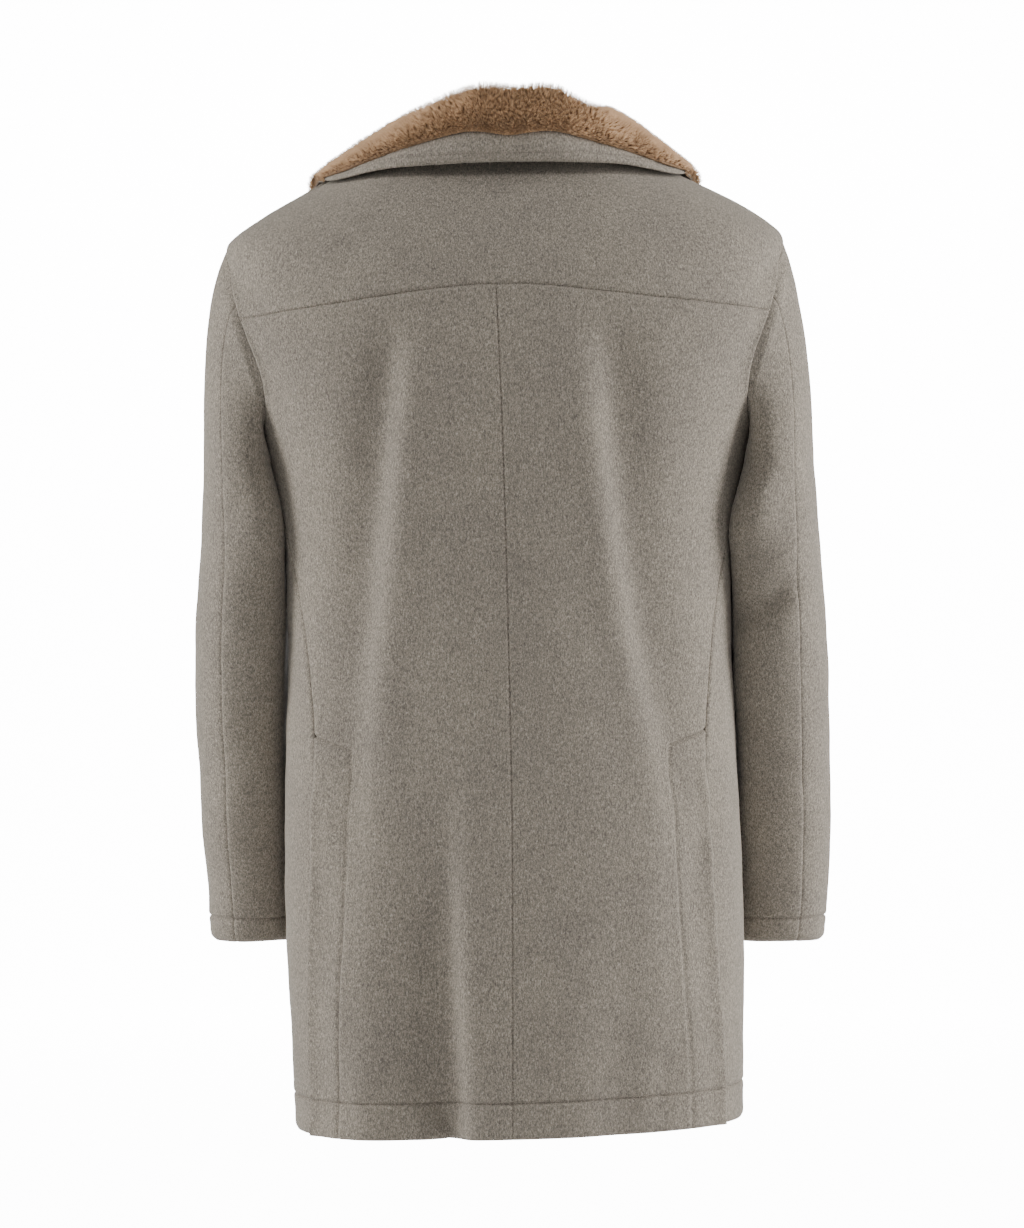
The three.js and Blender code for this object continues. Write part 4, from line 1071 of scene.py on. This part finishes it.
# The fur: a pelt, and hair on it in several pieces
FUR_OUTSIDE, FUR_ROLL, FUR_INSIDE, FUR_RIM = 9, 11, 5, 2
FUR_LAST = 0.988  # the station where it ends
PELT = 2.4
HAIRS_PER_PIECE = 33000
HAIR_PIECES = 3
HAIR_WIDTH = 0.52
TUFT_COUNT = 8000
TUFT_PULL = 0.38  # how far each hair's tip is drawn to its tuft's
LUMPS = waves(24, 30, 9)
SWIRL = waves(25, 48, 8)


def fur_depth(share, station):
    full = lerp(FUR_INSIDE, FUR_ROLL, smooth(0.1, 0.4, share))
    full = lerp(full, FUR_OUTSIDE, smooth(0.5, 0.8, share))
    rim = np.clip(np.minimum(share / 0.14, (1 - share) / 0.05), 0, 1)
    front = np.clip((1 - station) / 0.05, 0, 1)
    round_off = np.sqrt(1 - (1 - rim) ** 2) * np.sqrt(1 - (1 - front) ** 2)
    return lerp(FUR_RIM, full, round_off)


def fur_surface(side, station, share):
    across = lerp(FUR_START, fur_end(station)[0], share)
    top = collar_point(side, station, across) + collar_normal(side, station, across) * (CLOTH + 0.5)
    return top, collar_normal(side, station, across, 0.06)


def add_fur():
    stations = np.linspace(0, FUR_LAST, 90)
    side, station = both_sides(stations)
    shares = np.linspace(0, 1, 56)
    side, station, share = np.broadcast_arrays(side[None], station[None], shares[:, None])
    base, normal = fur_surface(side, station, share)
    depth = fur_depth(share, station / FUR_LAST)
    pelt = PELT * np.minimum(1, depth / 6) + 0.18 * FINE_WAVES(base)
    outer = base + normal * pelt[..., None]
    closed_sheet("fur_collar", outer, base, grid_lengths(base), grid_area(base), fur)
    add_hair(outer, normal, depth - pelt, share)


def add_hair(surface, normal, depth, share):
    """Thin spikes, rooted at random over the pelt, that lean together in tufts."""
    count = HAIRS_PER_PIECE * HAIR_PIECES
    corners = surface[1:, :-1] - surface[:-1, :-1], surface[:-1, 1:] - surface[:-1, :-1]
    weight = size(np.cross(*corners)).ravel()
    cells = rng.choice(len(weight), count, p=weight / weight.sum())
    i, j = np.unravel_index(cells, corners[0].shape[:2])
    a, b = rng.random((2, count))

    def spread(field):
        a_, b_ = (a, b) if field.ndim == 2 else (a[:, None], b[:, None])
        low = lerp(field[i, j], field[i, j + 1], b_)
        return lerp(low, lerp(field[i + 1, j], field[i + 1, j + 1], b_), a_)

    root, up = spread(surface), unit(spread(normal))
    flow = unit(surface[i + 1, j] - surface[i, j])
    sideways = np.cross(up, flow)
    at_edge = smooth(0.86, 1, spread(share))[:, None]
    lean = 0.3 * SWIRL(root)[:, None] * sideways + (0.28 + 0.55 * at_edge) * flow
    lean = lean + rng.normal(0, 0.18, root.shape)
    direction = unit(up + lean)
    full = np.maximum(spread(depth), 1.2)
    grown = full * (0.97 + 0.06 * LUMPS(root)) * rng.uniform(0.84, 1.04, count)
    tip = root + direction * grown[:, None]
    tip = drawn_to_tufts(root, tip, full)
    root = root - up * 0.5
    direction = unit(tip - root)
    across = unit(np.cross(direction, rng.normal(size=root.shape)))
    other = np.cross(direction, across)
    width = HAIR_WIDTH * rng.uniform(0.7, 1.2, count)[:, None]
    turns = 0, 2.1, 4.2
    foot = [root + width * (math.cos(t) * across + math.sin(t) * other) / 2 for t in turns]
    vertices = np.stack([*foot, tip], 1)
    one = np.array([(0, 1, 3), (1, 2, 3), (2, 0, 3), (2, 1, 0)])
    for k in range(HAIR_PIECES):
        some = vertices[k::HAIR_PIECES].reshape(-1, 3)
        faces = (one[None] + 4 * np.arange(len(some) // 4)[:, None, None]).reshape(-1, 3)
        piece = make_object(f"fur_hair_{k + 1}", some, faces, fur, None)
        along = np.tile([0.1, 0.1, 0.1, 1.0], len(some) // 4).astype(np.float32)
        piece.data.attributes.new("tip", "FLOAT", "POINT").data.foreach_set("value", along)


def drawn_to_tufts(root, tip, full):
    """Each hair's tip is drawn towards that of the nearest hair that leads a tuft."""
    tree = KDTree(TUFT_COUNT)
    leaders = rng.choice(len(root), TUFT_COUNT, replace=False)
    for k, leader in enumerate(leaders):
        tree.insert(root[leader], k)
    tree.balance()
    nearest = leaders[[tree.find(point)[1] for point in root]]
    length = full * rng.uniform(0.9, 1.06, len(root))[nearest]
    goal = root[nearest] + unit(tip[nearest] - root[nearest]) * length[:, None]
    return lerp(tip, goal, TUFT_PULL)


# Buttons, their thread and their buttonholes
BUTTON_SIDES = 64
HOLE_RADIUS, HOLE_REACH = 1.3, 2.9
THREAD_HEIGHT, THREAD_SHIFTS = 3.5, (-0.45, 0, 0.45)
# Rows: radius and height, from under the button's middle round its rim to its hollow
BUTTON_PROFILE = [
    (0.4, 0.0), (BUTTON_RADIUS - 2, 0.0), (BUTTON_RADIUS - 0.7, 0.6), (BUTTON_RADIUS, 2.0),
    (BUTTON_RADIUS - 0.15, 3.2), (BUTTON_RADIUS - 0.8, BUTTON_THICK), (BUTTON_RADIUS - 2.4, BUTTON_THICK),
    (9.2, 3.55), (8.4, 3.3), (0.4, 3.3),
]


def hole_place(index, height):
    turn = (index + 0.5) * pi / 2
    return Vector((HOLE_REACH * math.cos(turn), HOLE_REACH * math.sin(turn), height))


def add_button(index, z):
    spot = raised_point(1, pi, z, OVERLAP_RISE + 0.32)
    normal = body_normal(1, pi, z)
    turned = Vector(normal).to_track_quat("Z", "Y")
    bm = bmesh.new()
    rings = []
    turns = np.arange(BUTTON_SIDES) * 2 * pi / BUTTON_SIDES
    for radius, height in BUTTON_PROFILE:
        ring = [(radius * math.cos(t), radius * math.sin(t), height) for t in turns]
        rings.append([bm.verts.new(corner) for corner in ring])
    for low, high in zip(rings, rings[1:]):
        for k in range(BUTTON_SIDES):
            n = (k + 1) % BUTTON_SIDES
            bm.faces.new((low[k], low[n], high[n], high[k]))
    bm.faces.new(rings[-1])
    bm.faces.new(rings[0][::-1])
    mesh = bpy.data.meshes.new("disc")
    bm.to_mesh(mesh)
    bm.free()
    disc = linked("disc", mesh)
    cutters = []
    for k in range(4):
        place = hole_place(k, 2)
        bpy.ops.mesh.primitive_cylinder_add(vertices=20, radius=HOLE_RADIUS, depth=16, location=place)
        cutter = bpy.context.object
        cutters.append(cutter)
        cut = disc.modifiers.new("hole", "BOOLEAN")
        cut.object = cutter
        cut.solver = "EXACT"
    bpy.context.view_layer.update()
    done = disc.evaluated_get(bpy.context.evaluated_depsgraph_get()).to_mesh()
    vertices = np.array([turned @ v.co for v in done.vertices]) + spot
    faces = [tuple(p.vertices) for p in done.polygons]
    for helper in (disc, *cutters):
        bpy.data.objects.remove(helper)
    piece = make_object(f"button_{index}", vertices, faces, horn, f"button_{index}")
    piece.data.set_sharp_from_angle(angle=math.radians(35))
    holes = [np.array(turned @ hole_place(k, THREAD_HEIGHT)) for k in range(4)]
    for a, b in ((0, 1), (2, 3)):
        for shift in THREAD_SHIFTS:
            offset = spot + np.array([0, 0, shift])
            stitches.append([offset + holes[a], offset + holes[b]])


def add_buttonholes():
    """Close thread in two rows on the left front, as the edging of a buttonhole, beside each button."""
    height = OVERLAP_RISE + 0.2
    for z in BUTTON_Z:
        ring_front = float(body_ring(z)[2])
        for row, sign in ((z + 1.0, 1), (z - 1.0, -1)):
            for x in np.arange(11.5, 24.5, 0.55):
                angle = pi - math.asin(x / ring_front)
                rows = row - sign * 0.9, row + sign * 1.2
                stitches.append([raised_point(1, angle, place, height) for place in rows])


# The stage, in metres
FLOOR_END_Y, SWEEP_Y, SWEEP_RADIUS, BACKDROP_TOP_Z = -2.6, -7.5, 2.5, 2.1
FLOOR_HALF_WIDTH, BACKDROP_HALF_WIDTH = 4.0, 2.0
BACKDROP_GLOW = 13.0
WARM = (1, 0.985, 0.955)
LIGHT_TARGET = (0, 0, -0.38)
WORLD_STRENGTH = 0.1
# Rows: name, place, size, power
LIGHTS = [
    ("soft_left", (2.5, 0.35, 0.3), (0.9, 2.2), 90),
    ("soft_right", (-2.5, 0.35, 0.3), (0.9, 2.2), 112),
    ("soft_back", (0.2, 3.2, 2.6), (1.4, 0.8), 62),
]


def add_stage():
    """A plain floor, and behind it a bright sweep that rises into a backdrop."""
    add_ground("floor", [(3.5, FLOOR_Z), (FLOOR_END_Y, FLOOR_Z)], FLOOR_HALF_WIDTH, 0.0)
    turns = np.linspace(0.1, pi / 2, 16)
    profile = [(FLOOR_END_Y, FLOOR_Z), (SWEEP_Y, FLOOR_Z)]
    for t in turns:
        rise = SWEEP_RADIUS * (1 - math.cos(t))
        profile.append((SWEEP_Y - SWEEP_RADIUS * math.sin(t), FLOOR_Z + rise))
    profile.append((SWEEP_Y - SWEEP_RADIUS, BACKDROP_TOP_Z))
    add_ground("backdrop", profile, BACKDROP_HALF_WIDTH, BACKDROP_GLOW)


def add_ground(name, profile, half_width, glow):
    vertices = [(x, y, z) for y, z in profile for x in (-half_width, half_width)]
    faces = [(2 * k, 2 * k + 1, 2 * k + 3, 2 * k + 2) for k in range(len(profile) - 1)]
    material, shader = new_material(name + "_white", (0.9, 0.9, 0.9), 0.9)
    shader.inputs["Emission Color"].default_value = (1, 1, 1, 1)
    shader.inputs["Emission Strength"].default_value = glow
    smooth_mesh(name, vertices, faces, material)


def add_light(name, place, size, power):
    light = bpy.data.lights.new(name, "AREA")
    light.shape = "RECTANGLE"
    light.size, light.size_y = size
    light.energy = power
    light.color = WARM
    lamp = linked(name, light)
    lamp.location = place
    aim = Vector(LIGHT_TARGET) - Vector(place)
    lamp.rotation_euler = aim.to_track_quat("-Z", "Y").to_euler()


def add_lights():
    world = bpy.data.worlds.new("studio")
    world.use_nodes = True
    background = world.node_tree.nodes["Background"]
    background.inputs["Color"].default_value = (1, 1, 1, 1)
    background.inputs["Strength"].default_value = WORLD_STRENGTH
    bpy.context.scene.world = world
    for row in LIGHTS:
        add_light(*row)


def add_camera():
    camera = bpy.data.cameras.new("camera")
    camera.lens = CAMERA_LENS
    camera.sensor_width = 36
    eye = linked("camera", camera)
    eye.location = (CAMERA_X, CAMERA_DISTANCE, CAMERA_Z)
    eye.rotation_euler = (pi / 2, 0, pi)
    bpy.context.scene.camera = eye


add_camera()
add_yoke()
for side in (1, -1):
    add_back(side)
    add_front(side)
    add_underlap(side)
    add_sleeve_piece("top", side, FRONT_SEAM_TURN - 2 * pi, BACK_SEAM_TURN)
    add_sleeve_piece("under", side, BACK_SEAM_TURN, FRONT_SEAM_TURN)
add_collar()
add_fur()
for index, z in enumerate(BUTTON_Z):
    add_button(index + 1, z)
add_buttonholes()
add_stitching()
add_stage()
add_lights()
